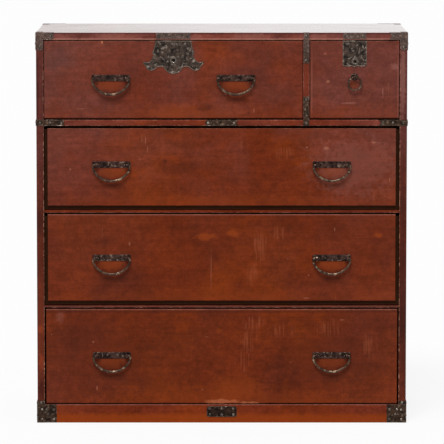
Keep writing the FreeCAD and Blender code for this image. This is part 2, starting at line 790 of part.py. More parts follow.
def make_case():
    """Wood and iron of the case, drilled for the nails."""
    left, right = make_sides()
    make_shelves()
    rail, plinth = make_rails()
    wood = {
        "left_side": left,
        "right_side": right,
        "top_board": make_top(),
        "upper_rail": rail,
        "plinth_rail": plinth,
        "divider": make_divider(),
        "back_boards": make_back(),
    }
    iron = {
        "top_left_corner_iron": make_corner("top_left_corner", -1, False),
        "top_right_corner_iron": make_corner("top_right_corner", 1, True),
        "bottom_left_corner_iron": make_foot_corner("bottom_left_corner", -1),
        "bottom_right_corner_iron": make_foot_corner("bottom_right_corner", 1),
        "rear_corner_irons": group(
            "rear_corners",
            [
                make_rear_corner("rear_top_left", -1, True),
                make_rear_corner("rear_top_right", 1, True),
                make_rear_corner("rear_bottom_left", -1, False),
                make_rear_corner("rear_bottom_right", 1, False),
            ],
        ),
        "rail_end_straps": make_rail_straps(),
        "rail_centre_plate": make_rail_plate(),
        "plinth_centre_plate": make_plinth_plate(),
        "divider_straps": make_divider_straps(),
        "large_strike_plate": make_strike_plate("large_strike", "top_drawer_middle", "strike_half"),
        "small_strike_plate": make_strike_plate("small_strike", "small_drawer_middle", "small_strike_half"),
    }
    wood["top_board"] = without("top_board_recessed", wood["top_board"], LIPS)
    for name, item in {**wood, **iron}.items():
        keep(name, drilled(name, item))
    keep("case_nails", shaped("nails", Part.Compound([placed(nail_shape, place) for place in NAIL_PLACES])))


# The drawers. A flush drawer's front covers the ends of its box, and an inset one sits between its sides.
class Drawer:
    """Limits of one drawer, each a sum of names."""

    def __init__(self, name, row, left, right, inset):
        self.name = name
        self.row = row
        self.left = left
        self.right = right
        self.inset = inset
        self.floor = f"row{row}_floor"
        self.ceiling = f"row{row}_ceiling"
        self.middle = f"(({left}) + ({right})) / 2"
        self.face = "inset_face" if inset else "flush_face"
        self.face_back = f"{self.face} + front_thickness"
        self.tray_low = f"{self.floor} + rest_gap"
        self.tray_high = f"{self.tray_low} + tray_thickness"
        self.side_top = f"{self.ceiling} - box_headroom"
        self.box_left = f"{left} + box_gap"
        self.box_right = f"{right} - box_gap"
        self.rear = "back_inside - rear_gap"
        self.face_top = f"{self.ceiling} - row{row}_top_reveal"
        if inset:
            self.front_x = (f"{self.box_left} + box_thickness", f"{self.box_right} - box_thickness")
            self.front_low = self.tray_high
            self.side_front = f"{self.face} + band_recess"
            self.tray_front = f"{self.face} + band_recess"
        else:
            self.front_x = (f"{left} + row{row}_end_reveal", f"{right} - row{row}_end_reveal")
            self.front_low = f"{self.floor} + row{row}_low_reveal"
            self.side_front = self.face_back
            self.tray_front = f"{self.face_back} - tray_rebate"

    def make_box(self):
        """Sides and back, and the bottom under them."""
        sides = []
        ends = (
            ("left", self.box_left, f"{self.box_left} + box_thickness"),
            ("right", f"{self.box_right} - box_thickness", self.box_right),
        )
        for side, low, high in ends:
            z = (self.tray_high, self.side_top)
            sides.append(block(f"{self.name}_{side}_side", (low, high), (self.side_front, self.rear), z))
        back = block(
            f"{self.name}_back",
            (f"{self.box_left} + box_thickness", f"{self.box_right} - box_thickness"),
            (f"{self.rear} - box_thickness", self.rear),
            (self.tray_high, f"{self.side_top} - back_drop"),
        )
        keep(f"{self.name}_box", group(f"{self.name}_box_boards", [*sides, back]))
        tray = block(
            f"{self.name}_tray",
            (self.box_left, self.box_right),
            (self.tray_front, self.rear),
            (self.tray_low, self.tray_high),
        )
        keep(f"{self.name}_bottom", tray)

    def make_front(self, tools, nails):
        """Front board with eased arrises, less the given cuts and nail holes."""
        z = (self.front_low, self.face_top)
        board = block(f"{self.name}_front_blank", self.front_x, (self.face, self.face_back), z)
        board = eased(f"{self.name}_front_eased", board, "front_ease", at_front(self.face))
        if not self.inset:
            rebate = block(
                f"{self.name}_front_rebate",
                (f"{self.left} - overrun", f"{self.right} + overrun"),
                (self.tray_front, f"{self.face_back} + overrun"),
                (f"{self.floor} - overrun", self.tray_high),
            )
            tools = [*tools, rebate]
        board = without(f"{self.name}_front_cut", board, tools)
        keep(f"{self.name}_front", drilled(f"{self.name}_front", board, nails))


# Handles.
def shank_hole(name, x, z, face):
    """Hole for a split shank through a front board and the plate on it."""
    radius = mm("post_shank + post_gap")
    depth = mm("front_thickness + 2 * overrun + bar_thickness")
    start = FreeCAD.Vector(mm(x), mm(f"{face} - overrun - bar_thickness"), mm(z))
    return shaped(name, Part.makeCylinder(radius, depth, start, FreeCAD.Vector(0, 1, 0)))


def split_shank(face):
    """The shank of a post at the origin of x and z: through the front, with two legs clinched behind it."""
    start = mm(f"{face} - bar_thickness")
    back = mm(f"{face} + front_thickness")
    legs = mm("leg_thickness")
    length, width = mm("leg_length"), mm("leg_width")
    shank = Part.makeCylinder(
        mm("post_shank"), back - start + legs, FreeCAD.Vector(0, start, 0), FreeCAD.Vector(0, 1, 0)
    )
    bar = Part.makeBox(width, legs, 2 * length, FreeCAD.Vector(-width / 2, back, -length))
    return shank.fuse(bar).removeSplitter()


def eyed_post(face, base, radius, reach, offset, eye):
    """A domed post with a cross hole, from a plate of the given thickness, with its split shank."""
    bottom, top, r = mm(base), mm(reach), mm(radius)
    dome = r * post_dome_share
    outline = [(0, top), (r, top - dome), (r, bottom), (0, bottom)]
    across, up = dome_middle(r, dome)
    post = turned(lathe(outline, {0: (across, top - dome + up)}), (0, -1, 0))
    start = FreeCAD.Vector(-2 * r, -mm(offset), 0)
    post = post.cut(Part.makeCylinder(mm(eye), 4 * r, start, FreeCAD.Vector(1, 0, 0)))
    post.translate(FreeCAD.Vector(0, mm(face), 0))
    return post.fuse(split_shank(face)).removeSplitter()


def bail_shape():
    """The bail round its axis at the origin: ends turned in, round shoulders and a flatter bottom."""
    half, drop, turn, shoulder = (mm(t) for t in ("bail_half", "bail_drop", "bail_turn", "bail_shoulder"))
    inner = mm("post_spacing / 2 - post_radius - bail_gap")
    fall = drop - turn
    wide = (half**2 + fall**2 - 2 * half * shoulder) / (2 * (fall - shoulder))
    side_middle = FreeCAD.Vector(half - shoulder, 0, -turn)
    low_middle = FreeCAD.Vector(0, 0, wide - drop)
    lean = math.atan2(side_middle.z - low_middle.z, side_middle.x)

    def on(middle, radius, angle, sign=1):
        across = middle.x + radius * math.cos(angle)
        return FreeCAD.Vector(sign * across, 0, middle.z + radius * math.sin(angle))

    corner = FreeCAD.Vector(half - turn, 0, -turn)
    right = [
        Part.LineSegment(FreeCAD.Vector(inner, 0, 0), FreeCAD.Vector(half - turn, 0, 0)),
        Part.Arc(on(corner, turn, math.pi / 2), on(corner, turn, math.pi / 4), on(corner, turn, 0)),
        Part.Arc(
            on(side_middle, shoulder, 0),
            on(side_middle, shoulder, lean / 2),
            on(side_middle, shoulder, lean),
        ),
    ]
    low = Part.Arc(
        on(low_middle, wide, lean), on(low_middle, wide, -math.pi / 2), on(low_middle, wide, lean, -1)
    )
    left = [
        Part.Arc(
            on(side_middle, shoulder, lean, -1),
            on(side_middle, shoulder, lean / 2, -1),
            on(side_middle, shoulder, 0, -1),
        ),
        Part.Arc(
            on(corner, turn, 0, -1),
            on(corner, turn, math.pi / 4, -1),
            on(corner, turn, math.pi / 2, -1),
        ),
        Part.LineSegment(FreeCAD.Vector(turn - half, 0, 0), FreeCAD.Vector(-inner, 0, 0)),
    ]
    edges = [curve.toShape() for curve in [*right, low, *left]]
    spine = Part.Wire(edges)
    thin, thick = mm("bail_end"), mm("bail_middle")
    shell = Part.BRepOffsetAPI.MakePipeShell(spine)
    across, down = FreeCAD.Vector(1, 0, 0), FreeCAD.Vector(0, 0, -1)
    turn_end = FreeCAD.Vector(half, 0, -turn)
    rings = [
        (thin, FreeCAD.Vector(inner, 0, 0), across),
        (thin, turn_end, down),
        (thick, FreeCAD.Vector(0, 0, -drop), FreeCAD.Vector(-1, 0, 0)),
        (thin, FreeCAD.Vector(-half, 0, -turn), FreeCAD.Vector(0, 0, 1)),
        (thin, FreeCAD.Vector(-inner, 0, 0), across),
    ]
    for radius, place, along in rings:
        shell.add(Part.Wire(Part.Circle(place, along, radius).toShape()))
    shell.build()
    shell.makeSolid()
    return shell.shape()


def bar_plate(face, x, z):
    """The plate behind a bail, with round corners and bevelled front edges."""
    plate = Part.makeBox(mm("bar_length"), mm("bar_thickness"), mm("bar_height"))
    plate.translate(FreeCAD.Vector(-mm("bar_length") / 2, -mm("bar_thickness"), -mm("bar_height") / 2))
    near = mm("overrun") * same_plane_share
    corners = [edge for edge in plate.Edges if edge.BoundBox.YLength > near]
    plate = plate.makeFillet(mm("bar_round"), [edge for edge in corners if edge.BoundBox.XLength < near])
    rim = [edge for edge in plate.Edges if abs(edge.BoundBox.YMax + mm("bar_thickness")) < near]
    plate = plate.makeChamfer(mm("bar_bevel"), rim)
    plate.translate(FreeCAD.Vector(mm(x), mm(face), mm(z)))
    return plate


def make_handles(drawer, spacing, rise):
    """Two bails with their plates and posts. Returns the holes that they need in the front."""
    mounts, holes = [], []
    z = f"{drawer.floor} + {rise}"
    for side, sign in (("left", "-"), ("right", "+")):
        x = f"{drawer.middle} {sign} {spacing} / 2"
        plate = bar_plate(drawer.face, x, z)
        for end in ("-", "+"):
            post_x = f"{x} {end} post_spacing / 2"
            eye = ("bail_offset", "bail_end + bail_gap")
            post = eyed_post(drawer.face, "bar_thickness", "post_radius", "post_reach", *eye)
            post.translate(FreeCAD.Vector(mm(post_x), 0, mm(z)))
            hole = shank_hole(f"{drawer.name}_{side}_hole", post_x, z, drawer.face)
            holes.append(hole)
            plate = plate.cut(hole.Shape)
            mounts.append(post)
        mounts.append(plate)
        bail = shaped(f"{drawer.name}_{side}_bail_wire", bail_shape())
        bail.setExpression(".Placement.Base.x", bound(x))
        bail.setExpression(".Placement.Base.y", bound(f"{drawer.face} - bail_offset"))
        bail.setExpression(".Placement.Base.z", bound(z))
        keep(f"{drawer.name}_{side}_bail", bail)
    keep(f"{drawer.name}_handle_mounts", shaped(f"{drawer.name}_mounts", Part.Compound(mounts)))
    return holes


def make_ring(drawer):
    """Ring pull of the small drawer with its rosette and staple. Returns the hole in the front."""
    x, z = drawer.middle, f"{drawer.floor} + ring_rise"
    r, thick = mm("rosette_radius"), mm("rosette_thickness")
    eye = ("ring_offset", "ring_wire + ring_gap")
    staple = eyed_post(drawer.face, "rosette_thickness", "staple_radius", "staple_reach", *eye)
    disc = turned(lathe([(0, thick), (r * rosette_flat_share, thick), (r, 0), (0, 0)]), (0, -1, 0))
    disc.translate(FreeCAD.Vector(0, mm(drawer.face), 0))
    hole = shank_hole("ring_hole", x, z, drawer.face)
    staple.translate(FreeCAD.Vector(mm(x), 0, mm(z)))
    disc.translate(FreeCAD.Vector(mm(x), 0, mm(z)))
    disc = disc.cut(hole.Shape)
    keep("small_drawer_ring_mount", shaped("ring_mount", Part.Compound([disc, staple])))
    ring = doc.addObject("Part::Torus", "ring_wire_loop")
    ring.Placement = FreeCAD.Placement(FreeCAD.Vector(), FreeCAD.Rotation(FreeCAD.Vector(1, 0, 0), 90))
    ring.setExpression("Radius1", bound("ring_radius"))
    ring.setExpression("Radius2", bound("ring_wire"))
    ring.setExpression(".Placement.Base.x", bound(x))
    ring.setExpression(".Placement.Base.y", bound(f"{drawer.face} - ring_offset"))
    ring.setExpression(".Placement.Base.z", bound(f"{z} - ring_radius"))
    keep("small_drawer_ring", ring)
    return [hole]


# Locks.
def large_plate_outline():
    """Half outline of the large lock plate: stepped flank, wing, scallop and the middle lobe's point."""
    top, flank, wing, lobe = (mm(t) for t in ("lock_half", "lock_flank", "lock_wing", "lock_lobe_half"))
    flank_z, tip_z, wing_z = (-mm(t) for t in ("lock_flank_drop", "lock_tip_drop", "lock_wing_drop"))
    scallop_z, point_z = -mm("lock_scallop_drop"), -mm("lock_point_drop")
    gap = wing - flank
    foot_x = flank - gap * foot_share
    foot_z = (wing_z + scallop_z) / 2
    lobe_z = scallop_z + (point_z - scallop_z) * lobe_drop_share
    end = (wing - gap * wing_end_share, (tip_z + wing_z) / 2)
    steps, bends = (
        [(top + (flank - top) * across, flank_z * down) for across, down in shares]
        for shares in (flank_step_shares, flank_arc_shares)
    )
    points = [(top, 0), *steps, (flank, flank_z), (wing, tip_z), end]
    points += [(foot_x, foot_z), (lobe, lobe_z), (0, point_z)]
    rest = (
        (flank + gap * shoulder_arc_shares[0], tip_z - gap * shoulder_arc_shares[1]),
        (wing - gap * tip_arc_shares[0], tip_z - gap * tip_arc_shares[1]),
        (flank + gap * wing_arc_share, wing_z),
        ((foot_x + lobe) / 2, scallop_z),
        (lobe * lobe_arc_shares[0], lobe_z + (point_z - lobe_z) * lobe_arc_shares[1]),
    )
    arcs = dict(enumerate((*bends, *rest)))
    return points, arcs


def small_plate_outline():
    """Half outline of the small lock plate: straight flanks and a brace-shaped lower edge."""
    half, flank_z, point_z = mm("small_lock_half"), -mm("small_lock_drop"), -mm("small_point_drop")
    dip = point_z - flank_z
    brace, outer, inner = (
        (half * across, flank_z + dip * down)
        for across, down in (brace_shares, brace_outer_shares, brace_inner_shares)
    )
    return [(half, 0), (half, flank_z), brace, (0, point_z)], {1: outer, 2: inner}


def both_sides(points, arcs):
    """Closes a half outline with its mirror image."""
    last = len(points) - 1
    mirror = [(-x, z) for x, z in reversed(points[:-1])]
    back = {2 * last - 1 - i: (-x, z) for i, (x, z) in arcs.items()}
    return points + mirror, {**arcs, **back}


def make_lock(drawer, prefix, outline, drop, case_half, nail_places):
    """Lock plate, case and bolt of one drawer. Returns the cuts that they need in the front."""
    top = drawer.face_top
    middle = drawer.middle
    plate_z = f"{top} + lock_plate_rise"
    plate = flat_plate(*both_sides(*outline), mm("lock_plate_thickness"))
    plate.translate(FreeCAD.Vector(mm(middle), mm(drawer.face), mm(plate_z)))
    key_z = mm(f"{top} - {drop}")
    boss = Part.makeCylinder(
        mm("boss_radius"),
        mm("boss_height"),
        FreeCAD.Vector(mm(middle), mm(f"{drawer.face} - lock_plate_thickness"), key_z),
        FreeCAD.Vector(0, -1, 0),
    )
    slot = block(
        f"{prefix}_keyhole",
        (f"{middle} - keyhole_width / 2", f"{middle} + keyhole_width / 2"),
        (
            f"{drawer.face} - lock_plate_thickness - boss_height - overrun",
            "lock_case_front + lock_case_wall + overrun",
        ),
        (f"{top} - {drop} - keyhole_height / 2", f"{top} - {drop} + keyhole_height / 2"),
    )
    doc.recompute()
    body = plate.fuse(boss).removeSplitter().cut(slot.Shape)
    nails = [placed(nail_shape, place) for place in nail_places]
    for place in nail_places:
        body = body.cut(placed(nail_hole_shape, place))
    keep(f"{prefix}_lock_plate", shaped(f"{prefix}_plate", Part.Compound([body, *nails])))

    case_top, case_low = f"{top} - lock_case_top", f"{top} - lock_case_top - lock_case_height"
    y = ("lock_case_front", "lock_case_back")
    x = (f"{middle} - {case_half}", f"{middle} + {case_half}")
    blank = block(f"{prefix}_case_blank", x, y, (case_low, case_top))
    hollow = block(
        f"{prefix}_case_hollow",
        (f"{middle} - {case_half} + lock_case_wall", f"{middle} + {case_half} - lock_case_wall"),
        ("lock_case_front + lock_case_wall", "lock_case_back + overrun"),
        (f"{case_low} + lock_case_wall", f"{case_top} - lock_case_wall"),
    )
    bolt_x = (f"{middle} - bolt_half - bolt_gap", f"{middle} + bolt_half + bolt_gap")
    bolt_y = ("bolt_front - bolt_gap", "bolt_back + bolt_gap")
    bolt_z = (f"{case_top} - lock_case_wall - overrun", f"{top} + overrun")
    way = block(f"{prefix}_bolt_way", bolt_x, bolt_y, bolt_z)
    keep(f"{prefix}_lock_case", without(f"{prefix}_case", blank, [hollow, way, slot]))

    foot_top = f"{case_top} - lock_case_wall - bolt_travel - bolt_gap"
    bolt = joined(
        f"{prefix}_bolt",
        [
            block(
                f"{prefix}_bolt_shaft",
                (f"{middle} - bolt_half", f"{middle} + bolt_half"),
                ("bolt_front", "bolt_back"),
                (f"{foot_top} - bolt_foot_height", f"{top} - bolt_shy"),
            ),
            block(
                f"{prefix}_bolt_foot",
                (f"{middle} - bolt_foot_half", f"{middle} + bolt_foot_half"),
                ("bolt_front", "bolt_back"),
                (f"{foot_top} - bolt_foot_height", foot_top),
            ),
        ],
    )
    keep(f"{prefix}_lock_bolt", bolt)
    pocket = block(
        f"{prefix}_pocket",
        (f"{middle} - {case_half} - pocket_gap", f"{middle} + {case_half} + pocket_gap"),
        ("lock_case_front", "lock_case_back + overrun"),
        (f"{case_low} - pocket_gap", f"{case_top} + pocket_gap"),
    )
    return [pocket, way, slot]


def lock_nails(drawer, offsets):
    """Nail places on a lock plate from (across, down) pairs of sums of names."""
    face = f"{drawer.face} - lock_plate_thickness"
    places = []
    for across, down in offsets:
        for sign in ("-", "+"):
            x = mm(f"{drawer.middle} {sign} ({across})")
            places.append((x, mm(face), mm(f"{drawer.face_top} - ({down})"), (0, -1, 0)))
    return places


def make_drawers():
    """All five drawers with what is on them."""
    top = Drawer("top_drawer", 1, "-inner_half", "divider_left", False)
    nails = lock_nails(top, [("lock_half - nail_edge", "nail_edge"), ("lock_flank", "lock_scallop_drop")])
    tools = make_handles(top, "top_handle_spacing", "row1_handle_rise")
    tools += make_lock(top, "large", large_plate_outline(), "keyhole_drop", "lock_case_half", nails)
    top.make_box()
    top.make_front(tools, nails)

    small = Drawer("small_drawer", 1, "divider_right", "inner_half", False)
    across = "small_lock_half - nail_edge / 2"
    nails = lock_nails(small, [(across, "nail_edge"), (across, "small_lock_drop - nail_edge / 2")])
    tools = make_ring(small)
    outline = small_plate_outline()
    tools += make_lock(small, "small", outline, "small_keyhole_drop", "small_case_half", nails)
    small.make_box()
    small.make_front(tools, nails)

    rows = (("upper_drawer", 2, True), ("lower_drawer", 3, True), ("bottom_drawer", 4, False))
    for name, row, inset in rows:
        drawer = Drawer(name, row, "-inner_half", "inner_half", inset)
        tools = make_handles(drawer, "handle_spacing", f"row{row}_handle_rise")
        drawer.make_box()
        drawer.make_front(tools, [])


def check_and_write():
    """Stops on any failed object or bad shape, then writes each sub-part to a file of its own."""
    doc.recompute()
    for item in doc.Objects:
        if {"Invalid", "Error"} & set(item.State):
            raise RuntimeError(f"{item.Name} failed: {item.State}")
    for item in KEPT:
        if item.Shape.isNull() or not item.Shape.isValid() or not item.Shape.Solids:
            raise RuntimeError(f"{item.Label} has no valid solid")
    os.makedirs("parts", exist_ok=True)
    for item in KEPT:
        item.Shape.exportStep(f"parts/{item.Label}.step")
        print(f"{item.Label}: {len(item.Shape.Solids)} solids, {item.Shape.Volume:.0f} mm3")
    print(f"{len(KEPT)} sub-parts")


fill_sheet()
make_case()
make_drawers()
check_and_write()
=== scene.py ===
"""Dresses the clothing chest: lacquered wood, blackened iron fittings, floor, light and camera."""

import logging
import math
from collections.abc import Callable
from dataclasses import dataclass, field
from enum import Enum
from functools import partial, partialmethod

import bmesh
import bpy
import numpy as np
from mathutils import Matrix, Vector


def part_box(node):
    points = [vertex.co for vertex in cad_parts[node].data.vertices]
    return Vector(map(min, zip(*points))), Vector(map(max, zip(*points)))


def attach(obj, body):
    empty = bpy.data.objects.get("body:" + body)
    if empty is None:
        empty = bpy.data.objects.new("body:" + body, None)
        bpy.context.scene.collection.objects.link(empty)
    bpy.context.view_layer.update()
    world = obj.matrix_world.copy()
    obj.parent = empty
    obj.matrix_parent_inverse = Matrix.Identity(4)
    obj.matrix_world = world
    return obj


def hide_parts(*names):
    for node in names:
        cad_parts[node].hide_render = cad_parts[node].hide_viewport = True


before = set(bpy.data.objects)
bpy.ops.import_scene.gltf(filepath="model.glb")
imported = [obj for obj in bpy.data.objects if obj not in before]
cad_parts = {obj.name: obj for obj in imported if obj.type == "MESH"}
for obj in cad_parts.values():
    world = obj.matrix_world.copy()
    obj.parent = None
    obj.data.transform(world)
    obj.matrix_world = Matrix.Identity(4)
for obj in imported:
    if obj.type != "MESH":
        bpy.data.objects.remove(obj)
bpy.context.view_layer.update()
LOG = logging.getLogger("clothing_chest")

Triple = tuple[float, float, float]
Colour = tuple[float, float, float, float]
Material = bpy.types.Material

FRONTWARD = (0, -1, 0)
HALF = (0.5, 0.5, 0.5)
SIDES = ("left", "right")
SHELVES = ("bottom_board", "lower_shelf", "middle_shelf", "upper_shelf")
CORNERS = tuple(f"{level}_{side}_corner_iron" for level in ("top", "bottom") for side in SIDES)


class Slot(Enum):
    """Material slots of the record."""

    CASE = "case_lacquer"
    DRAWER = "drawer_wood"
    PLAIN = "plain_wood"
    PLATE = "plate_iron"
    HANDLE = "handle_iron"
    LOCK = "lock_iron"


class Grain(Enum):
    """How a board's figure is stretched: long along its grain and short across it."""

    ALONG_X = (0.45, 2.2, 2.2)
    ALONG_Z = (2.2, 2.2, 0.45)
    FLAT = (0.6, 0.6, 2.4)


class Worn(Enum):
    """Which arrises are rubbed, as the ways in which the other faces of the board's box are moved out."""

    UPPER = ((-1, 0, -1), (1, 0, 0))
    LOWER = ((-1, 0, 0), (1, 0, 1))
    LEVEL = ((-1, 0, 0), (1, 0, 0))
    LEFT = ((0, 0, -1), (1, 0, 1))
    RIGHT = ((-1, 0, -1), (0, 0, 1))
    UPRIGHT = ((0, 0, -1), (0, 0, 1))

    def box(self, node: str, spare: float = 0.05) -> tuple[Triple, Triple]:
        """The node's box with the faces that are spared moved out."""
        corners = zip(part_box(node), self.value)
        return tuple(tuple(v + spare * way for v, way in zip(corner, ways)) for corner, ways in corners)


@dataclass(frozen=True)
class Mark:
    """One soft-edged patch on a board: a stain, a rubbed place or a scratch."""

    across: float
    up: float
    half_width: float
    half_height: float
    colour: Colour
    share: float
    ragged: float
    streaky: float = 0.0


def paint(red: int, green: int, blue: int) -> Colour:
    """The colour of screen values from 0 to 255, in linear light."""
    shares = (value / 255 for value in (red, green, blue))
    return (*(((v + 0.055) / 1.055) ** 2.4 if v > 0.04 else v / 12.92 for v in shares), 1.0)


def seed_of(name: str) -> float:
    """A number of its own for each board, so that no two have the same figure."""
    return float(sum((i + 3) * ord(letter) for i, letter in enumerate(name)) % 97)


# Shader nodes.
@dataclass(frozen=True)
class Value:
    """A number, vector or colour that a node gives out. Sums on it add nodes."""

    graph: "Graph"
    socket: bpy.types.NodeSocket

    @property
    def vector(self) -> bool:
        """Whether it is a vector."""
        return self.socket.type == "VECTOR"

    def maths(self, operation: str, *others: object) -> "Value":
        """One sum that starts with this value."""
        return self.graph.maths(operation, self, *others)

    __add__ = partialmethod(maths, "ADD")
    __sub__ = partialmethod(maths, "SUBTRACT")
    __mul__ = partialmethod(maths, "MULTIPLY")
    __truediv__ = partialmethod(maths, "DIVIDE")
    least = partialmethod(maths, "MINIMUM")
    most = partialmethod(maths, "MAXIMUM")
    under = partialmethod(maths, "LESS_THAN")

    def __rsub__(self, other: object) -> "Value":
        """The difference from a number."""
        return self.graph.maths("SUBTRACT", other, self)

    def split(self) -> tuple["Value", ...]:
        """The three numbers of a vector."""
        return tuple(Value(self.graph, out) for out in self.graph.add("SeparateXYZ", {0: self}).outputs)

    def ramp(self, start: float, end: float, low: float = 0.0, high: float = 1.0) -> "Value":
        """A smooth step from low at the start to high at the end."""
        feeds = {0: self, "From Min": start, "From Max": end, "To Min": low, "To Max": high}
        return self.graph.take("MapRange", 0, feeds, interpolation_type="SMOOTHSTEP")

    def mixed(self, share: object, other: object, how: str = "MIX") -> "Value":
        """The colour with a share of another one."""
        return self.graph.mix(share, self, other, how)

    def scaled(self, *rows: tuple) -> "Value":
        """The colour times smooth steps of values.

        Args:
            *rows: each a value and its start, end, low and high.

        Returns:
            The colour.
        """
        colour = self
        for value, *steps in rows:
            colour = colour.mixed(1.0, value.ramp(*steps), "MULTIPLY")
        return colour

    def noise(
        self, scale: float, detail: float, rough: float, warp: float = 0.0, seed: object = 0.0
    ) -> "Value":
        """Fractal noise from 0 to 1 at this place.

        Args:
            scale: features in a metre.
            detail: octaves.
            rough: weight of the finer octaves.
            warp: distortion.
            seed: a number that picks another pattern.

        Returns:
            The noise's value.
        """
        feeds = {"Vector": self, "W": seed, "Scale": scale, "Detail": detail}
        feeds |= {"Roughness": rough, "Distortion": warp}
        return self.graph.take("TexNoise", 0, feeds, noise_dimensions="4D")


class Graph:
    """Lays out the nodes of one tree and joins them."""

    def __init__(self, tree: bpy.types.NodeTree) -> None:
        """Starts on an empty tree."""
        self.tree = tree

    def add(self, kind: str, feeds: dict | None = None, **settings: object) -> bpy.types.Node:
        """Adds a node.

        Args:
            kind: the node's type, without the word ShaderNode in front.
            feeds: values, sockets and numbers for its inputs, by name or number.
            **settings: its own properties.

        Returns:
            The node.
        """
        node = self.tree.nodes.new(kind if kind.startswith("NodeGroup") else f"ShaderNode{kind}")
        for name, setting in settings.items():
            setattr(node, name, setting)
        for name, source in (feeds or {}).items():
            source = getattr(source, "socket", source)
            if isinstance(source, bpy.types.NodeSocket):
                self.tree.links.new(source, node.inputs[name])
            else:
                node.inputs[name].default_value = source
        return node

    def take(self, kind: str, output: int | str, feeds: dict | None = None, **settings: object) -> Value:
        """Adds a node and takes one of its outputs."""
        return Value(self, self.add(kind, feeds, **settings).outputs[output])

    def maths(self, operation: str, *sources: object) -> Value:
        """Adds one sum, on vectors where a source is one.

        Args:
            operation: Blender's name for the sum.
            *sources: its values, numbers or triples.

        Returns:
            The result.
        """
        output = int(operation in ("LENGTH", "DOT_PRODUCT"))
        vector = any(isinstance(source, tuple) or getattr(source, "vector", False) for source in sources)
        kind = "VectorMath" if vector else "Math"
        return self.take(kind, output, dict(enumerate(sources)), operation=operation)

    def mix(self, share: object, first: object, second: object, how: str = "MIX") -> Value:
        """Mixes two colours."""
        feeds = {0: share, 6: first, 7: second}
        return self.take("Mix", 2, feeds, data_type="RGBA", blend_type=how)


Values = dict[str, Value]


@dataclass(frozen=True)
class Effect:
    """A shader effect that several finishes share, kept as one node group with its layout's name."""

    ports: dict[str, object]
    lay: Callable[..., Values]

    def tree(self) -> bpy.types.NodeTree:
        """The effect's node group, built the first time it is asked for.

        Returns:
            The group.
        """
        name = self.lay.__name__
        found = bpy.data.node_groups.get(name)
        if found:
            return found
        tree = bpy.data.node_groups.new(name, "ShaderNodeTree")
        ports = {"Vector": (0, 0, 0), **self.ports}
        for port, start in ports.items():
            kind = "Vector" if isinstance(start, tuple) else "Float"
            socket = tree.interface.new_socket(name=port, in_out="INPUT", socket_type=f"NodeSocket{kind}")
            socket.default_value = start
        graph = Graph(tree)
        given = graph.add("NodeGroupInput").outputs
        results = self.lay(*(Value(graph, given[port]) for port in ports))
        for result in results:
            tree.interface.new_socket(name=result, in_out="OUTPUT", socket_type="NodeSocketFloat")
        graph.add("NodeGroupOutput", results)
        return tree

    def __call__(self, place: Value, **feeds: object) -> Values:
        """Puts the effect into a material and returns its results by name."""
        node = place.graph.add("Group", {"Vector": place, **feeds}, node_tree=self.tree())
        return {out.name: Value(place.graph, out) for out in node.outputs}


@partial(Effect, {"Stretch": (1, 5, 5), "Seed": 0.0})
def board_figure(place: Value, stretch: Value, seed: Value) -> Values:
    """Clouds, mottle, streaks and pores of a board, each finer and longer than the one before.

    Args:
        place: the place on the surface.
        stretch: how the figure is stretched.
        seed: picks the pattern.

    Returns:
        The four, from 0 to 1.
    """
    half = stretch * HALF + HALF
    wide = place * half
    long = wide * half * stretch
    return {
        "Cloud": place.noise(6.5, 5, 0.62, 0.9, seed),
        "Mottle": wide.noise(21, 5, 0.68, 0.9, seed),
        "Streak": long.noise(15, 4, 0.6, 0.5, seed),
        "Pore": (long * stretch).noise(30, 3, 0.6, 0.3, seed),
    }


@partial(Effect, {"Low": (0, 0, 0), "High": (1, 1, 1), "Reach": 0.003, "Broken": 0.5, "Seed": 0.0})
def arris_wear(place: Value, low: Value, high: Value, reach: Value, broken: Value, seed: Value) -> Values:
    """Rubbed arrises of a board: the middle one of the distances to its box's faces, made ragged.

    Args:
        place: the place on the surface.
        low: the box's low corner.
        high: its high corner.
        reach: how far the wear reaches from an arris.
        broken: how far chips break it up.
        seed: picks the pattern.

    Returns:
        The mask.
    """
    x, y, z = (place - low).least(high - place).split()
    edge = x.least(y).most(x.most(y).least(z))
    reach *= place.noise(38, 5, 0.65, 0.4, seed).ramp(0.3, 0.72, 0.25, 1.9)
    chips = place.noise(125, 3, 0.6, 0.2, seed).ramp(0.46, 0.58)
    kept = chips * broken + (1.0 - broken)
    return {"Mask": (edge / reach).ramp(0.35, 1.0, 1.0, 0.0) * kept}


@partial(Effect, {"Slant": 0.06, "Seed": 0.0})
def hairline_scratches(place: Value, slant: Value, seed: Value) -> Values:
    """Fine upright scratches in loose clusters: a very long noise that leans by the slant.

    Args:
        place: the place on the surface.
        slant: how far they lean in a metre.
        seed: picks the pattern.

    Returns:
        The mask.
    """
    x, y, z = place.split()
    leaning = place.graph.take("CombineXYZ", 0, {0: z * slant + x, 1: y, 2: z})
    line = (leaning * (1, 1, 0.055)).noise(165, 2, 0.5, 0.2, seed).ramp(0.66, 0.76)
    return {"Mask": line * place.noise(7.5, 3, 0.6, 0.4, seed).ramp(0.52, 0.66)}


@partial(Effect, {"Count": 22.0, "Size": 0.12, "Share": 0.25})
def dings(place: Value, count: Value, size: Value, share: Value) -> Values:
    """Scattered small chips: a ragged spot in each of a share of cells.

    Args:
        place: the place on the surface.
        count: cells in a metre.
        size: a spot's radius in cells.
        share: how many of the cells have a spot.

    Returns:
        The mask.
    """
    size *= place.noise(160, 3, 0.6).ramp(0.3, 0.7, 0.4, 1.4)
    cells = place.graph.add("TexVoronoi", {"Vector": place, "Scale": count}).outputs
    spot = Value(place.graph, cells["Distance"]).under(size)
    pick = place.graph.take("SeparateColor", 0, {0: cells["Color"]})
    return {"Mask": spot * pick.under(share)}


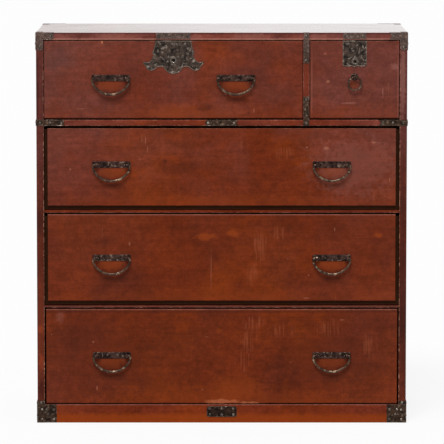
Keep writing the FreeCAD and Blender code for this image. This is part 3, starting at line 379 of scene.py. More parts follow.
@partial(Effect, {"Seed": 0.0})
def lacquer_bloom(place: Value, seed: Value) -> Values:
    """Greyish bloom on old lacquer together with a painted sheen: in clouds, strongest near the chest's
    ends and its upper part, the painted sheen standing in for the room's reflection towards the ends.

    Args:
        place: the place on the surface.
        seed: picks the pattern.

    Returns:
        The mask.
    """
    x, _, z = place.split()
    height = z.ramp(0.45, 0.75, 0.16, 0.55)
    across = x.maths("ABSOLUTE").ramp(0.1, 0.44)
    clouds = place.noise(5.5, 5, 0.62, 0.5, seed).ramp(0.34, 0.68, -0.5, 0.6)
    total = across * height + z.ramp(0.52, 0.92, 0.0, 0.5) + clouds * height
    return {"Mask": total.most(0.0).least(1.0)}


@partial(Effect, {"Middle": (0, 0, 0), "Spread": (1, 1, 1), "Ragged": 0.5, "Streaky": 0.0, "Seed": 0.0})
def front_spot(
    place: Value, centre: Value, spread: Value, ragged: Value, streaky: Value, seed: Value
) -> Values:
    """One soft-edged ellipse seen from the front, roughened by noise and broken by scratches.

    Args:
        place: the place on the surface.
        centre: its middle.
        spread: one over its half sizes.
        ragged: how uneven its edge is.
        streaky: how far scratches break it up.
        seed: picks the pattern.

    Returns:
        The mask.
    """
    reach = ((place - centre) * spread).maths("LENGTH")
    reach = (place.noise(75, 4, 0.65, 0.3, seed) - 0.5) * (ragged * 2.4) + reach
    streak = (place * (1.0, 1.0, 0.05)).noise(260, 2, 0.5, 0.05, seed).ramp(0.48, 0.62, 0.0, 1.25)
    kept = streak * streaky + (1.0 - streaky)
    return {"Mask": reach.ramp(0.35, 1.05, 1.0, 0.0) * kept}


@partial(Effect, {"Fineness": 180.0, "Seed": 0.0})
def forge_marks(place: Value, fineness: Value, seed: Value) -> Values:
    """Hammer facets, grit and scale of forged iron, with the places that hands have rubbed.

    Args:
        place: the place on the surface.
        fineness: facets in a metre.
        seed: picks the pattern.

    Returns:
        The height, the patina and the rubbed places.
    """
    feeds = {"Vector": place, "Scale": fineness, "Smoothness": 0.6}
    facets = place.graph.take("TexVoronoi", "Distance", feeds, feature="SMOOTH_F1")
    return {
        "Height": place.noise(900, 3, 0.6, 0.0, seed) * 0.3 + facets,
        "Patina": place.noise(75, 5, 0.65, 0.6, seed),
        "Rub": place.noise(120, 3, 0.6, 0.3, seed).ramp(0.52, 0.7),
    }


@partial(Effect, {"Fineness": 520.0, "Seed": 0.0})
def punched_ground(place: Value, fineness: Value, seed: Value) -> Values:
    """Rows of small punched dots between raised scrolls, worn flat in patches.

    Args:
        place: the place on the surface.
        fineness: dots in a metre.
        seed: picks the pattern.

    Returns:
        The height.
    """
    feeds = {"Vector": place, "Scale": fineness, "Randomness": 0.35}
    dots = place.graph.take("TexVoronoi", "Distance", feeds)
    worn = place.noise(60, 3, 0.6, 0.4, seed).ramp(0.4, 0.62)
    return {"Height": dots.ramp(0.15, 0.5, 1.0, 0.0) * worn}


# Finishes.
def new_material(name: str) -> tuple[Material, Graph, Value]:
    """An empty material, its nodes and the place on the surface.

    Args:
        name: the material's name.

    Returns:
        The material, its nodes and the place.
    """
    material = bpy.data.materials.new(name)
    material.use_nodes = True
    material.node_tree.nodes.clear()
    graph = Graph(material.node_tree)
    return material, graph, graph.take("TexCoord", "Object")


def surface(graph: Graph, feeds: dict, height: Value, depth: float) -> None:
    """Ends a material in its shader.

    Args:
        graph: the material's nodes.
        feeds: what goes into the shader, by socket.
        height: its relief from 0 to 1.
        depth: depth of the relief in metres.
    """
    feeds["Normal"] = graph.take("Bump", 0, {"Height": height, "Strength": 1.0, "Distance": depth})
    shader = graph.add("BsdfPrincipled", feeds)
    graph.add("OutputMaterial", {"Surface": shader.outputs[0]})


def assign(piece: bpy.types.Object, material: Material) -> None:
    """Gives a piece one material in all its slots.

    Args:
        piece: the piece.
        material: its finish.
    """
    if not piece.material_slots:
        piece.data.materials.append(material)
    for slot in piece.material_slots:
        slot.material = material


def dress(node: str, material: Material) -> None:
    """Gives a node of the frame its finish."""
    assign(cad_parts[node], material)


# Near-black painted shade for faces in gaps, along rail edges and at the bottom edges of the fronts.
PAINTED_SHADE = paint(20, 5, 3)
DUST = paint(140, 118, 113)


@dataclass(frozen=True)
class Lacquer:
    """Thin reddish-brown lacquer over a figured board, worn on its arrises."""

    name: str
    body: Colour
    dark: Colour
    warm: Colour
    bloom: Colour
    worn: Colour
    roughness: float = 0.42
    specular: float = 0.06
    bloom_share: float = 0.9
    scratch_share: float = 0.22
    chip_share: float = 0.5
    wear_reach: float = 0.0016
    wear_share: float = 0.6
    broken: float = 0.7
    polished_top: bool = False
    relief_depth: float = 0.00018

    def coat(self, place: Value, figure: Values, seed: float) -> Value:
        """Mixes the coat before any wear.

        Args:
            place: the place on the surface.
            figure: the board's figure.
            seed: the board's number.

        Returns:
            The colour.
        """
        colour = place.graph.mix(figure["Cloud"].ramp(0.28, 0.6), self.dark, self.body)
        warmth = place.noise(4.6, 3, 0.5, 0.6, seed + 11).ramp(0.42, 0.72, 0.0, 0.8)
        colour = colour.mixed(warmth, self.warm)
        # Mixes in the greyish bloom together with a painted sheen towards the chest's ends.
        colour = colour.mixed(lacquer_bloom(place, Seed=seed)["Mask"] * self.bloom_share, self.bloom)
        return colour.scaled(
            (figure["Mottle"], 0.34, 0.66, 0.88, 1.12),
            (place.noise(90, 4, 0.7, 0.4, seed), 0.34, 0.66, 0.87, 1.13),
            (place.noise(340, 2, 0.6, 0.2, seed), 0.32, 0.68, 0.9, 1.1),
            (figure["Streak"], 0.32, 0.68, 0.94, 1.06),
            (figure["Pore"], 0.34, 0.62, 0.95, 1.03),
        )

    def material(
        self, node: str, grain: Grain, worn: Worn, patches: tuple[Mark, ...], shaded_way: Triple | None = None
    ) -> Material:
        """Mixes the lacquer for one board.

        Args:
            node: the board's node, whose box gives the arrises.
            grain: the way of its grain.
            worn: which arrises are rubbed.
            patches: marks on it.
            shaded_way: the way that a face looks which lies in a gap and gets painted shade near the front.

        Returns:
            The board's own material.
        """
        seed = seed_of(node)
        material, graph, place = new_material(f"{self.name}_{node}")
        figure = board_figure(place, Stretch=grain.value, Seed=seed)
        colour = self.coat(place, figure, seed)
        for number, mark in enumerate(patches):
            shape = {"Middle": (mark.across, 0, mark.up), "Ragged": mark.ragged, "Streaky": mark.streaky}
            spread = (1 / mark.half_width, 0, 1 / mark.half_height)
            spot = front_spot(place, Spread=spread, Seed=seed + number, **shape)["Mask"]
            colour = colour.mixed(spot * mark.share, mark.colour)
        crossed = hairline_scratches(place, Slant=-0.3, Seed=seed + 5)["Mask"]
        scratches = hairline_scratches(place, Slant=0.05, Seed=seed)["Mask"].most(crossed * 0.6)
        colour = colour.mixed(scratches * self.scratch_share, self.worn)
        chips = dings(place, Count=19.0, Size=0.03, Share=0.25)["Mask"]
        colour = colour.mixed(chips * self.chip_share, self.worn)
        low, high = worn.box(node)
        edges = {"Low": low, "High": high, "Reach": self.wear_reach, "Broken": self.broken}
        wear = arris_wear(place, Seed=seed, **edges)["Mask"]
        colour = colour.mixed(wear * self.wear_share, self.worn)
        cloudy = place.noise(14, 5, 0.6, 0.3, seed)
        gloss = cloudy.ramp(0.3, 0.7, self.roughness - 0.05, self.roughness + 0.1) + wear * 0.2
        relief = figure["Pore"] * 0.35 + figure["Streak"] * 0.4 - scratches.most(chips) * 0.7
        facing = graph.take("NewGeometry", "Normal")
        # A face in a gap is painted dark near the front as painted shade, and made rougher.
        if shaded_way:
            turned = graph.maths("DOT_PRODUCT", facing, shaded_way).ramp(0.8, 0.95)
            gap_shade = turned * place.split()[1].ramp(low[1] + 0.08, low[1] + 0.14, 0.95, 0.0)
            colour = colour.mixed(gap_shade, PAINTED_SHADE)
            gloss = gap_shade * 0.5 + gloss
        feeds = {"Base Color": colour, "Roughness": gloss, "Specular IOR Level": self.specular}
        if self.polished_top:
            upward = facing.split()[2].ramp(0.8, 0.95)
            polish = cloudy.ramp(0.3, 0.7, 0.84, 1.0) * place.split()[0].ramp(-0.46, 0.15, 0.66, 1.0)
            feeds |= {"Coat Weight": upward * polish, "Coat Roughness": 0.14}
            feeds["Roughness"] = gloss - upward * 0.2
        surface(graph, feeds, relief, self.relief_depth)
        return material


@dataclass(frozen=True)
class BareWood:
    """Planed wood without a finish, browned by age, with its front ends stained like the lacquer and
    darkened nearly to black as painted shade for the gaps in which they show.
    """

    name: str
    light: Colour
    dark: Colour
    stain: Colour
    plank_pitch: float = 0.0
    specular: float = 0.12
    figured: float = 0.5
    relief_depth: float = 0.0003

    def material(self, node: str, grain: Grain, stain_and_shade_to: float | None = None) -> Material:
        """Mixes the wood for one node.

        Args:
            node: the board's node.
            grain: the way of its grain.
            stain_and_shade_to: how far back the stained front ends with their painted shade reach, or None
                for none.

        Returns:
            The node's own material.
        """
        low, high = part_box(node)
        seed = own = seed_of(node)
        material, graph, place = new_material(f"{self.name}_{node}")
        across, depth, _ = place.split()
        if self.plank_pitch:
            plank = graph.maths("FLOOR", (across - low[0]) / self.plank_pitch)
            own = plank * 7.3 + seed
        figure = board_figure(place, Stretch=grain.value, Seed=own)
        long = place * grain.value * tuple((value + 1) / 2 for value in grain.value)
        rings = graph.maths("SINE", long.noise(2.6, 2, 0.4, 0.3, own) * 96.0)
        ring = rings.ramp(-0.6, 1.0, 0.0, self.figured)
        colour = graph.mix(ring, self.light, self.dark)
        colour = colour.mixed(figure["Mottle"].ramp(0.4, 0.7, 0.0, 0.5), self.dark)
        streak, pore = figure["Streak"], figure["Pore"]
        colour = colour.scaled((streak, 0.34, 0.62, 0.84, 1.06), (pore, 0.34, 0.62, 0.86, 1.06))
        if self.plank_pitch:
            pick = graph.take("TexWhiteNoise", "Value", {"W": plank}, noise_dimensions="1D")
            colour = colour.scaled((pick, 0.0, 1.0, 0.74, 1.12))
        grime = arris_wear(place, Low=low, High=high, Reach=0.012, Broken=0.2, Seed=seed)["Mask"]
        colour = colour.mixed(grime * 0.35, self.dark)
        # The front ends are stained dark, which also stands in as painted shade in the gaps.
        if stain_and_shade_to is not None:
            ragged = place.noise(90, 3, 0.6) * 0.006 + depth
            colour = colour.mixed(ragged.ramp(stain_and_shade_to, stain_and_shade_to + 0.004, 0.97, 0.0), self.stain)
        rough = streak.ramp(0.3, 0.7, 0.72, 0.86)
        feeds = {"Base Color": colour, "Roughness": rough, "Specular IOR Level": self.specular}
        surface(graph, feeds, pore * 0.6 + ring * 0.3, self.relief_depth)
        return material


@dataclass(frozen=True)
class Iron:
    """Blackened iron with a brown patina, rubbed brighter where it stands out."""

    name: str
    black: Colour
    brown: Colour
    rubbed: Colour
    fineness: float = 180.0
    depth: float = 0.0005
    rub_share: float = 0.5
    roughness: float = 0.5
    metallic: float = 0.85
    punched: bool = False
    dusty: float = 0.0

    def material(self) -> Material:
        """The iron's material, made once.

        Returns:
            The material that all its pieces share.
        """
        found = bpy.data.materials.get(self.name)
        if found:
            return found
        seed = seed_of(self.name)
        material, graph, place = new_material(self.name)
        forged = forge_marks(place, Fineness=self.fineness, Seed=seed)
        rub = forged["Rub"] * self.rub_share
        colour = graph.mix(forged["Patina"].ramp(0.36, 0.66), self.black, self.brown)
        colour = colour.mixed(rub, self.rubbed)
        height = forged["Height"]
        if self.punched:
            dots = punched_ground(place, Fineness=520.0, Seed=seed)["Height"]
            height -= dots * 0.7
            colour = colour.mixed(dots * 0.5, self.black)
        if self.dusty:
            # Below half a metre the iron is darker towards the bottom; near the top it gets specks of dust.
            up = place.split()[2]
            colour = colour.scaled((up, 0.0, 0.5, 0.84, 1.0))
            specks = place.noise(420, 3, 0.7, 0.3, seed).ramp(0.38, 0.62, 0.1, 1.5)
            colour = colour.mixed(up.ramp(0.86, 0.955, 0.0, self.dusty) * specks, DUST)
        rough = (self.roughness + 0.08) - rub * 0.3
        feeds = {"Base Color": colour, "Roughness": rough, "Metallic": self.metallic}
        surface(graph, feeds, height, self.depth)
        return material


# The colours stand in the order of the fields.
CASE_LACQUER = Lacquer(
    "case_lacquer", paint(111, 45, 25), paint(86, 33, 18), paint(126, 52, 18), paint(112, 57, 48),
    paint(172, 114, 96), bloom_share=0.8, specular=0.0,
)
TOP_LACQUER = Lacquer(
    "top_lacquer", paint(112, 49, 34), paint(86, 36, 26), paint(124, 52, 28), paint(118, 66, 60),
    paint(178, 124, 108), bloom_share=0.9, broken=0.35, polished_top=True,
)
SIDE_LACQUER = Lacquer(
    "side_lacquer", paint(88, 37, 22), paint(64, 26, 17), paint(104, 42, 18), paint(90, 47, 43),
    paint(190, 138, 112), bloom_share=0.85, broken=0.9, wear_share=0.75,
)
FRONT_LACQUER = Lacquer(
    "front_lacquer", paint(108, 41, 15), paint(86, 32, 14), paint(124, 50, 12), paint(106, 57, 49),
    paint(170, 112, 84), wear_reach=0.0013, wear_share=0.5,
)
PAULOWNIA = BareWood(
    "paulownia", paint(196, 164, 120), paint(150, 112, 74), paint(28, 6, 3), specular=0.0, figured=0.3,
)
CEDAR = BareWood("cedar", paint(152, 112, 76), paint(104, 70, 46), paint(30, 9, 5), specular=0.0)
BACK_CEDAR = BareWood(
    "back_cedar", paint(184, 144, 102), paint(132, 96, 64), paint(44, 14, 7), plank_pitch=0.182,
)
BAMBOO = Iron(
    "bamboo_pegs", paint(120, 84, 50), paint(150, 110, 68), paint(176, 136, 90), fineness=600,
    depth=0.00008, metallic=0.0,
)
PLATE_IRON = Iron(
    "blackened_plate_iron", paint(38, 28, 22), paint(92, 69, 53), paint(160, 136, 116), rub_share=0.6,
    roughness=0.68, dusty=0.42,
)
PLINTH_IRON = Iron(
    "plinth_plate_iron", paint(24, 17, 14), paint(58, 40, 30), paint(120, 98, 82), rub_share=0.5,
    roughness=0.68,
)
RIM_IRON = Iron(
    "plate_rim_iron", paint(48, 37, 31), paint(92, 71, 58), paint(180, 160, 146), rub_share=0.8,
    roughness=0.4, dusty=0.42,
)
LOCK_IRON = Iron(
    "lock_plate_iron", paint(34, 29, 26), paint(90, 74, 65), paint(192, 176, 162), depth=0.0008,
    rub_share=0.62, punched=True,
)
LOCK_RIM_IRON = Iron(
    "lock_rim_iron", paint(84, 74, 66), paint(124, 108, 96), paint(200, 184, 166), rub_share=0.8,
    roughness=0.4,
)
HANDLE_IRON = Iron(
    "blackened_handle_iron", paint(26, 17, 15), paint(84, 59, 51), paint(184, 154, 134), fineness=260,
    depth=0.0004, rub_share=0.58, roughness=0.42,
)
BAIL_IRON = Iron(
    "bail_iron", paint(48, 35, 29), paint(104, 80, 64), paint(206, 180, 150), fineness=220, depth=0.0003,
    rub_share=0.65, roughness=0.34,
)
NAIL_IRON = Iron(
    "domed_nail_iron", paint(66, 58, 52), paint(124, 110, 100), paint(214, 202, 188), rub_share=0.7,
    roughness=0.36,
)
BRIGHT_IRON = Iron(
    "rubbed_iron", paint(112, 102, 94), paint(150, 138, 126), paint(226, 216, 204), fineness=300,
    depth=0.0002, roughness=0.3,
)
WORKS_IRON = Iron("works_iron", paint(60, 56, 52), paint(96, 84, 72), paint(150, 142, 132))


# Shapes.
def middle(node: str) -> Triple:
    """The middle of a node's box."""
    return tuple((a + b) / 2 for a, b in zip(*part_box(node)))


def turns_of(count: int) -> np.ndarray:
    """The angles of equal steps round a circle."""
    return np.arange(count) * 2 * math.pi / count


def upright(x: np.ndarray, y: float, z: np.ndarray) -> np.ndarray:
    """The points of a line that lies in a plane along the chest's front."""
    return np.stack([x, np.full(len(x), y), z], 1)


def add_object(name: str, data: bpy.types.ID) -> bpy.types.Object:
    """A new object in the scene.

    Args:
        name: its name.
        data: its mesh, lamp or camera.

    Returns:
        The object.
    """
    made = bpy.data.objects.new(name, data)
    bpy.context.scene.collection.objects.link(made)
    return made


class Sculpt:
    """Collects the points and faces of one piece."""

    def __init__(self) -> None:
        """Starts empty."""
        self.points: list[Triple] = []
        self.faces: list[tuple[int, ...]] = []

    def skin(self, rings: list[np.ndarray], closed: bool = False, capped: bool = False) -> None:
        """Joins rings of points with quads.

        Args:
            rings: rings with the same count of points.
            closed: whether the last ring joins the first.
            capped: whether the first and last ring are filled.
        """
        start, count, last = len(self.points), len(rings[0]), len(rings) - 1
        for ring in rings:
            self.points.extend(tuple(map(float, point)) for point in ring)
        for a in range(last + closed):
            near, far = start + a * count, start + (a + 1) % len(rings) * count
            for i in range(count):
                j = (i + 1) % count
                self.faces.append((near + i, near + j, far + j, far + i))
        if capped:
            self.faces.append(tuple(start + i for i in reversed(range(count))))
            self.faces.append(tuple(start + last * count + i for i in range(count)))

    def dome(self, centre: Triple, outward: Triple, radius: float, height: float) -> None:
        """A low round head on a surface.

        Args:
            centre: its middle on the surface.
            outward: the way it stands out.
            radius: its radius.
            height: its height.
        """
        out = np.array(outward, float)
        first = np.cross(out, (0, 0, 1))
        first /= np.linalg.norm(first)
        turns = turns_of(12)
        circle = np.outer(np.cos(turns), first) + np.outer(np.sin(turns), np.cross(out, first))
        steps = ((1.0, -0.4), (1.0, 0.3), (0.86, 0.72), (0.5, 0.96), (0.12, 1.0))
        foot = np.array(centre, float)
        rings = [foot + circle * radius * share + out * height * up for share, up in steps]
        self.skin(rings, capped=True)

    def wire(
        self, path: np.ndarray, radius: object, closed: bool = False, flat: float = 1.0, sides: int = 8
    ) -> None:
        """A round or flattened wire along a path that lies in a plane along the front.

        Args:
            path: points of its middle line.
            radius: its radius, one or one for each point.
            closed: whether it is a loop.
            flat: its height as a share of its width.
            sides: points round it.
        """
        ahead, behind = np.roll(path, -1, 0), np.roll(path, 1, 0)
        if not closed:
            ahead[-1], behind[0] = path[-1], path[0]
        along = ahead - behind
        along /= np.linalg.norm(along, axis=1)[:, None]
        across = np.cross(along, np.array(FRONTWARD, float))
        turns = turns_of(sides)
        rings = [
            point + r * (np.outer(np.cos(turns), side) + flat * np.outer(np.sin(turns), FRONTWARD))
            for point, side, r in zip(path, across, np.broadcast_to(radius, len(path)))
        ]
        self.skin(rings, closed=closed, capped=not closed)

    def hoop(self, centre: Triple, reach: object, radius: object, count: int, sides: int = 8) -> None:
        """A closed wire round a point, along the front.

        Args:
            centre: the point.
            reach: from the point to the middle of the wire, one or one for each step.
            radius: the wire's radius, one or one for each step.
            count: steps round the hoop.
            sides: points round the wire.
        """
        turns = turns_of(count)
        x, z = centre[0] + reach * np.cos(turns), centre[2] + reach * np.sin(turns)
        self.wire(upright(x, centre[1], z), radius, closed=True, sides=sides)

    def piece(self, name: str, body: str, slot: Slot, material: Material) -> bpy.types.Object:
        """Makes the piece.

        Args:
            name: its name.
            body: the body that it rides on.
            slot: the record's material slot; not used.
            material: its finish.

        Returns:
            The new object.
        """
        mesh = bpy.data.meshes.new(name)
        mesh.from_pydata(self.points, [], self.faces)
        shape = bmesh.new()
        shape.from_mesh(mesh)
        bmesh.ops.recalc_face_normals(shape, faces=shape.faces)
        shape.to_mesh(mesh)
        shape.free()
        mesh.shade_smooth()
        piece = add_object(name, mesh)
        assign(piece, material)
        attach(piece, body)
        LOG.info("%s: %d faces on %s", name, len(mesh.polygons), body)
        return piece


def plate_outlines(
    node: str, out: Triple, level: float, least: float = 0.009, slack: float = 5e-5
) -> list[np.ndarray]:
    """The outlines of a plate's flat face.

    Args:
        node: the plate's node.
        out: the face's outward normal.
        level: how far out the face lies along it.
        least: outlines smaller than this, such as nail holes, are left out.
        slack: how far a face may lie off the level.

    Returns:
        Loops of points, each with the plate on its left seen from outside.
    """
    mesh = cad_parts[node].data
    normal = Vector(out)
    corner: dict[tuple[int, ...], int] = {}
    spots: list[np.ndarray] = []
    edges: set[tuple[int, int]] = set()
    for face in mesh.polygons:
        if face.normal.dot(normal) < 0.99 or abs(face.center.dot(normal) - level) > slack:
            continue
        ring = []
        for index in face.vertices:
            spot = mesh.vertices[index].co
            key = tuple(round(value * 2e5) for value in spot)
            if key not in corner:
                corner[key] = len(spots)
                spots.append(np.array(spot))
            ring.append(corner[key])
        edges.update(zip(ring, ring[1:] + ring[:1]))
    onward = {a: b for a, b in edges if (b, a) not in edges}
    loops = []
    while onward:
        start = next(iter(onward))
        loop = [start]
        while (after := onward.pop(loop[-1], None)) is not None and after != start:
            loop.append(after)
        path = np.array([spots[i] for i in loop])
        path = path[np.linalg.norm(path - np.roll(path, 1, 0), axis=1) > 1e-4]
        if len(path) > 2 and np.linalg.norm(np.ptp(path, axis=0)) > least:
            loops.append(path)
    return loops


def inward(path: np.ndarray, out: Triple, width: float) -> np.ndarray:
    """Moves an outline in by a width, with mitred corners.

    Args:
        path: the outline, with the plate on its left.
        out: the plate's outward normal.
        width: how far in.

    Returns:
        The moved outline.
    """
    ahead = np.roll(path, -1, 0) - path
    ahead /= np.maximum(np.linalg.norm(ahead, axis=1), 1e-9)[:, None]
    left = np.cross(np.array(out, float), ahead)
    before = np.roll(left, 1, 0)
    spread = 1 + np.sum(left * before, axis=1)
    return path + width * (left + before) / np.maximum(spread, 0.6)[:, None]


@dataclass(frozen=True)
class Ornament:
    """One raised ornament and its mirror image, in millimetres from the middle of a plate's top edge."""

    across: float
    down: float

    def line(self) -> tuple[np.ndarray, np.ndarray, np.ndarray, float]:
        """Its points' distances and angles, their widths, and its height as a share of them."""
        raise NotImplementedError

    def add(self, sculpt: Sculpt, corner: Triple) -> None:
        """Adds the ornament to a piece.

        Args:
            sculpt: the piece.
            corner: the middle of the plate's top edge, on its face.
        """
        reach, turn, width, flat = self.line()
        for side in (-1, 1) if self.across else (1,):
            x = corner[0] + side * (self.across + reach * np.cos(turn)) / 1000
            z = corner[2] - (self.down - reach * np.sin(turn)) / 1000
            sculpt.wire(upright(x, corner[1], z), width / 1000, flat=flat, sides=6)


@dataclass(frozen=True)
class Curl(Ornament):
    """A scroll that turns inward."""

    outer: float
    inner: float
    start: float
    turns: float
    width: float = 1.1

    def line(self) -> tuple[np.ndarray, np.ndarray, np.ndarray, float]:
        """A spiral that tapers.

        Returns:
            What every ornament's line returns.
        """
        steps = np.linspace(0, 1, 26)
        reach = self.outer + (self.inner - self.outer) * steps**0.85
        turn = math.radians(self.start) + 2 * math.pi * self.turns * steps
        return reach, turn, self.width * np.minimum(1, 0.3 + steps * 5) * (1 - 0.55 * steps), 0.45


@dataclass(frozen=True)
class Leaf(Ornament):
    """A pointed leaf on its foot."""

    length: float
    lean: float
    width: float = 2.2

    def line(self) -> tuple[np.ndarray, np.ndarray, np.ndarray, float]:
        """A bend that is widest in its middle.

        Returns:
            What every ornament's line returns.
        """
        steps = np.linspace(0, 1, 12)
        width = self.width * np.sin(math.pi * steps**0.8) + 0.12
        return self.length * steps, math.radians(self.lean) + 0.5 * steps, width, 0.22


@dataclass
class Rim:
    """Filed and rubbed border along the outline of an iron plate."""

    width: float = 0.0017
    height: float = 0.00035
    sunk: float = 0.0001

    def add(self, sculpt: Sculpt, node: str, out: Triple, level: float) -> None:
        """Adds the border of one face.

        Args:
            sculpt: the piece that it goes into.
            node: the plate's node.
            out: the face's outward normal.
            level: how far out the face lies.
        """
        lift = np.array(out, float)
        low, high = (np.array(corner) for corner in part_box(node))
        proud = np.abs(lift) * self.height
        steps = ((0.03, -self.sunk), (0.3, self.height), (0.66, self.height), (1.0, -self.sunk))
        for path in plate_outlines(node, out, level):
            rings = [inward(path, out, share * self.width) + lift * up for share, up in steps]
            sculpt.skin([np.clip(ring, low - proud, high + proud) for ring in rings])


# Marks on the boards.
PALE = paint(168, 106, 82)
SCUFF = paint(164, 88, 58)
# Dark stains; also used as painted shade over whole lower fronts and under the bottom drawer's top arris.
STAIN_AND_SHADE = paint(62, 26, 16)
# Warm orange: places that hands polished, and painted warm light along the bottoms of the fronts and the
# plinth.
GLOW = paint(140, 60, 20)
GREY = paint(84, 56, 50)
# Pale haze of old lacquer; also used as a painted highlight along top arrises.
HAZE_AND_HIGHLIGHT = paint(146, 92, 82)
RUST = paint(206, 124, 84)
WIDE = 4000


def marks(rows: tuple[tuple, ...]) -> tuple[Mark, ...]:
    """Marks from rows of a table.

    Args:
        rows: each a colour, its share and how ragged its edges are, and then places in millimetres: middle
            across, middle up, half width and half height. Scuffs break up into upright scratches.

    Returns:
        The marks.
    """
    return tuple(
        Mark(*(value / 1000 for value in place), colour, share, ragged, float(colour == SCUFF))
        for colour, share, ragged, *places in rows
        for place in places
    )


FRONT_MARKS: dict[str, tuple[tuple, ...]] = {
    "top_drawer": (
        (GREY, 0.4, 0.9, (-405, 900, 56, 38)),
        (GLOW, 0.35, 0.9, (-105, 772, 90, 22)),
        (STAIN_AND_SHADE, 0.4, 0.7, (-41, 781, 26, 14), (55, 762, 12, 4), (66, 768, 5, 6)),
        (PALE, 0.4, 0.3, (-345, 778, 16, 1), (79, 774, 2, 8), (10, 815, 2, 5)),
        (RUST, 0.6, 0.3, (-293, 942, 3, 7)),
    ),
    "small_drawer": (
        (HAZE_AND_HIGHLIGHT, 0.5, 0.7, (423, 882, 13, 11), (312, 792, 25, 3), (395, 816, 3, 16)),
        (GLOW, 0.4, 0.6, (323, 838, 15, 13)),
        (PALE, 0.5, 0.5, (261, 845, 6, 4), (254, 913, 3, 3)),
        (HAZE_AND_HIGHLIGHT, 0.35, 0.4, (221, 840, 2, 120), (432, 840, 2, 120)),
    ),
    "upper_drawer": (
        (HAZE_AND_HIGHLIGHT, 0.22, 0.9, (330, 640, 150, 90)),
        # Painted shadow of the upper rail along the top of the set-back front.
        (PAINTED_SHADE, 0.6, 0.5, (0, 732.5, WIDE, 4.5)),
        (PALE, 0.5, 0.15, (-187, 700, 1.4, 14), (-182, 678, 1.1, 12), (413, 603, 1.6, 8)),
        (PALE, 0.5, 0.5, (-372, 629, 3, 4), (209, 683, 3, 3), (257, 681, 8, 5), (373, 695, 7, 3)),
        (SCUFF, 0.2, 0.5, (51, 691, 10, 16), (373, 560, 12, 18), (150, 670, 30, 20)),
        (STAIN_AND_SHADE, 0.55, 0.6, (-140, 650, 8, 6)),
        (STAIN_AND_SHADE, 0.3, 0.8, (-110, 630, 50, 22)),
    ),
    "lower_drawer": (
        (GLOW, 0.6, 0.8, (385, 466, 13, 7), (28, 470, 17, 12), (-41, 462, 32, 10)),
        (SCUFF, 0.22, 0.7, (92, 436, 26, 44), (74, 372, 20, 32), (147, 468, 30, 22)),
        (PALE, 0.4, 0.4, (278, 480, 2, 6), (-227, 445, 3, 6), (209, 310, 10, 2), (-26, 380, 1, 60)),
        (STAIN_AND_SHADE, 0.3, 0.8, (-293, 450, 44, 14)),
    ),
    "bottom_drawer": (
        (STAIN_AND_SHADE, 0.26, 0.9, (-240, 160, 300, 150), (270, 180, 240, 130)),
        (SCUFF, 0.24, 0.7, (80, 250, 34, 24), (68, 208, 26, 38), (52, 154, 22, 44)),
        (SCUFF, 0.2, 0.7, (262, 234, 40, 26), (364, 190, 24, 34), (150, 228, 40, 20)),
        (PALE, 0.45, 0.3, (297, 256, 9, 1.5), (-317, 201, 3, 3), (-37, 214, 5, 1), (-308, 86, 2, 8)),
        (GLOW, 0.35, 0.9, (40, 84, 70, 40), (-6, 230, 8, 8)),
        (RUST, 0.34, 0.8, (0, 53, 48, 7), (70, 50, 30, 4)),
        # Painted shade just under the top arris.
        (STAIN_AND_SHADE, 0.4, 0.5, (0, 277, WIDE, 5)),
        (HAZE_AND_HIGHLIGHT, 0.2, 0.8, (-400, 262, 14, 20)),
    ),
}
BOARD_MARKS: dict[str, tuple[tuple, ...]] = {
    "top_board": (
        (paint(56, 33, 29), 0.75, 0.2, (0, 962.2, WIDE, 1.9)),
        (paint(176, 122, 106), 0.4, 0.5, (0, 949.5, WIDE, 2.6)),
        (HAZE_AND_HIGHLIGHT, 0.4, 1.0, (-262, 956, 60, 11), (-56, 955, 26, 8), (70, 956, 50, 9), (236, 955, 24, 9)),
        (STAIN_AND_SHADE, 0.4, 1.0, (-342, 956, 44, 10), (-180, 953, 30, 6), (140, 955, 34, 8)),
    ),
    # The near-black bands on the rails are painted shade: along the upper rail's lower edge, and on the
    # middle and lower rails under the fronts above them and along their lower edges.
    "upper_rail": ((PAINTED_SHADE, 0.6, 0.4, (0, 736, WIDE, 2.6)),),
    "middle_rail": ((PAINTED_SHADE, 0.88, 0.3, (0, 530, WIDE, 3.2), (0, 521, WIDE, 1.6)),),
    "lower_rail": (
        (paint(100, 64, 58), 0.6, 0.5, (0, 289, WIDE, 4)),
        (PAINTED_SHADE, 0.9, 0.3, (0, 294, WIDE, 4.2), (0, 285.5, WIDE, 2.4)),
    ),
    # Painted warm light along the plinth's bottom, and a painted highlight along its top arris.
    "plinth_rail": (
        (GLOW, 0.7, 0.4, (0, 6, WIDE, 22)),
        (HAZE_AND_HIGHLIGHT, 0.5, 0.4, (0, 45, WIDE, 1.8)),
    ),
    "left_side": (
        (paint(112, 47, 22), 0.4, 0.5, (-446, 250, 9, 150)),
        (paint(146, 60, 32), 0.5, 0.8, (-446, 234, 9, 15), (-446, 150, 9, 30)),
        (paint(56, 22, 18), 0.6, 0.7, (-446, 84, 10, 26), (-452, 820, 4, 90)),
    ),
    "right_side": (
        (paint(56, 26, 20), 0.5, 0.6, (446, 420, 10, 320)),
        (paint(170, 118, 106), 0.3, 0.6, (444, 850, 9, 120)),
    ),
}


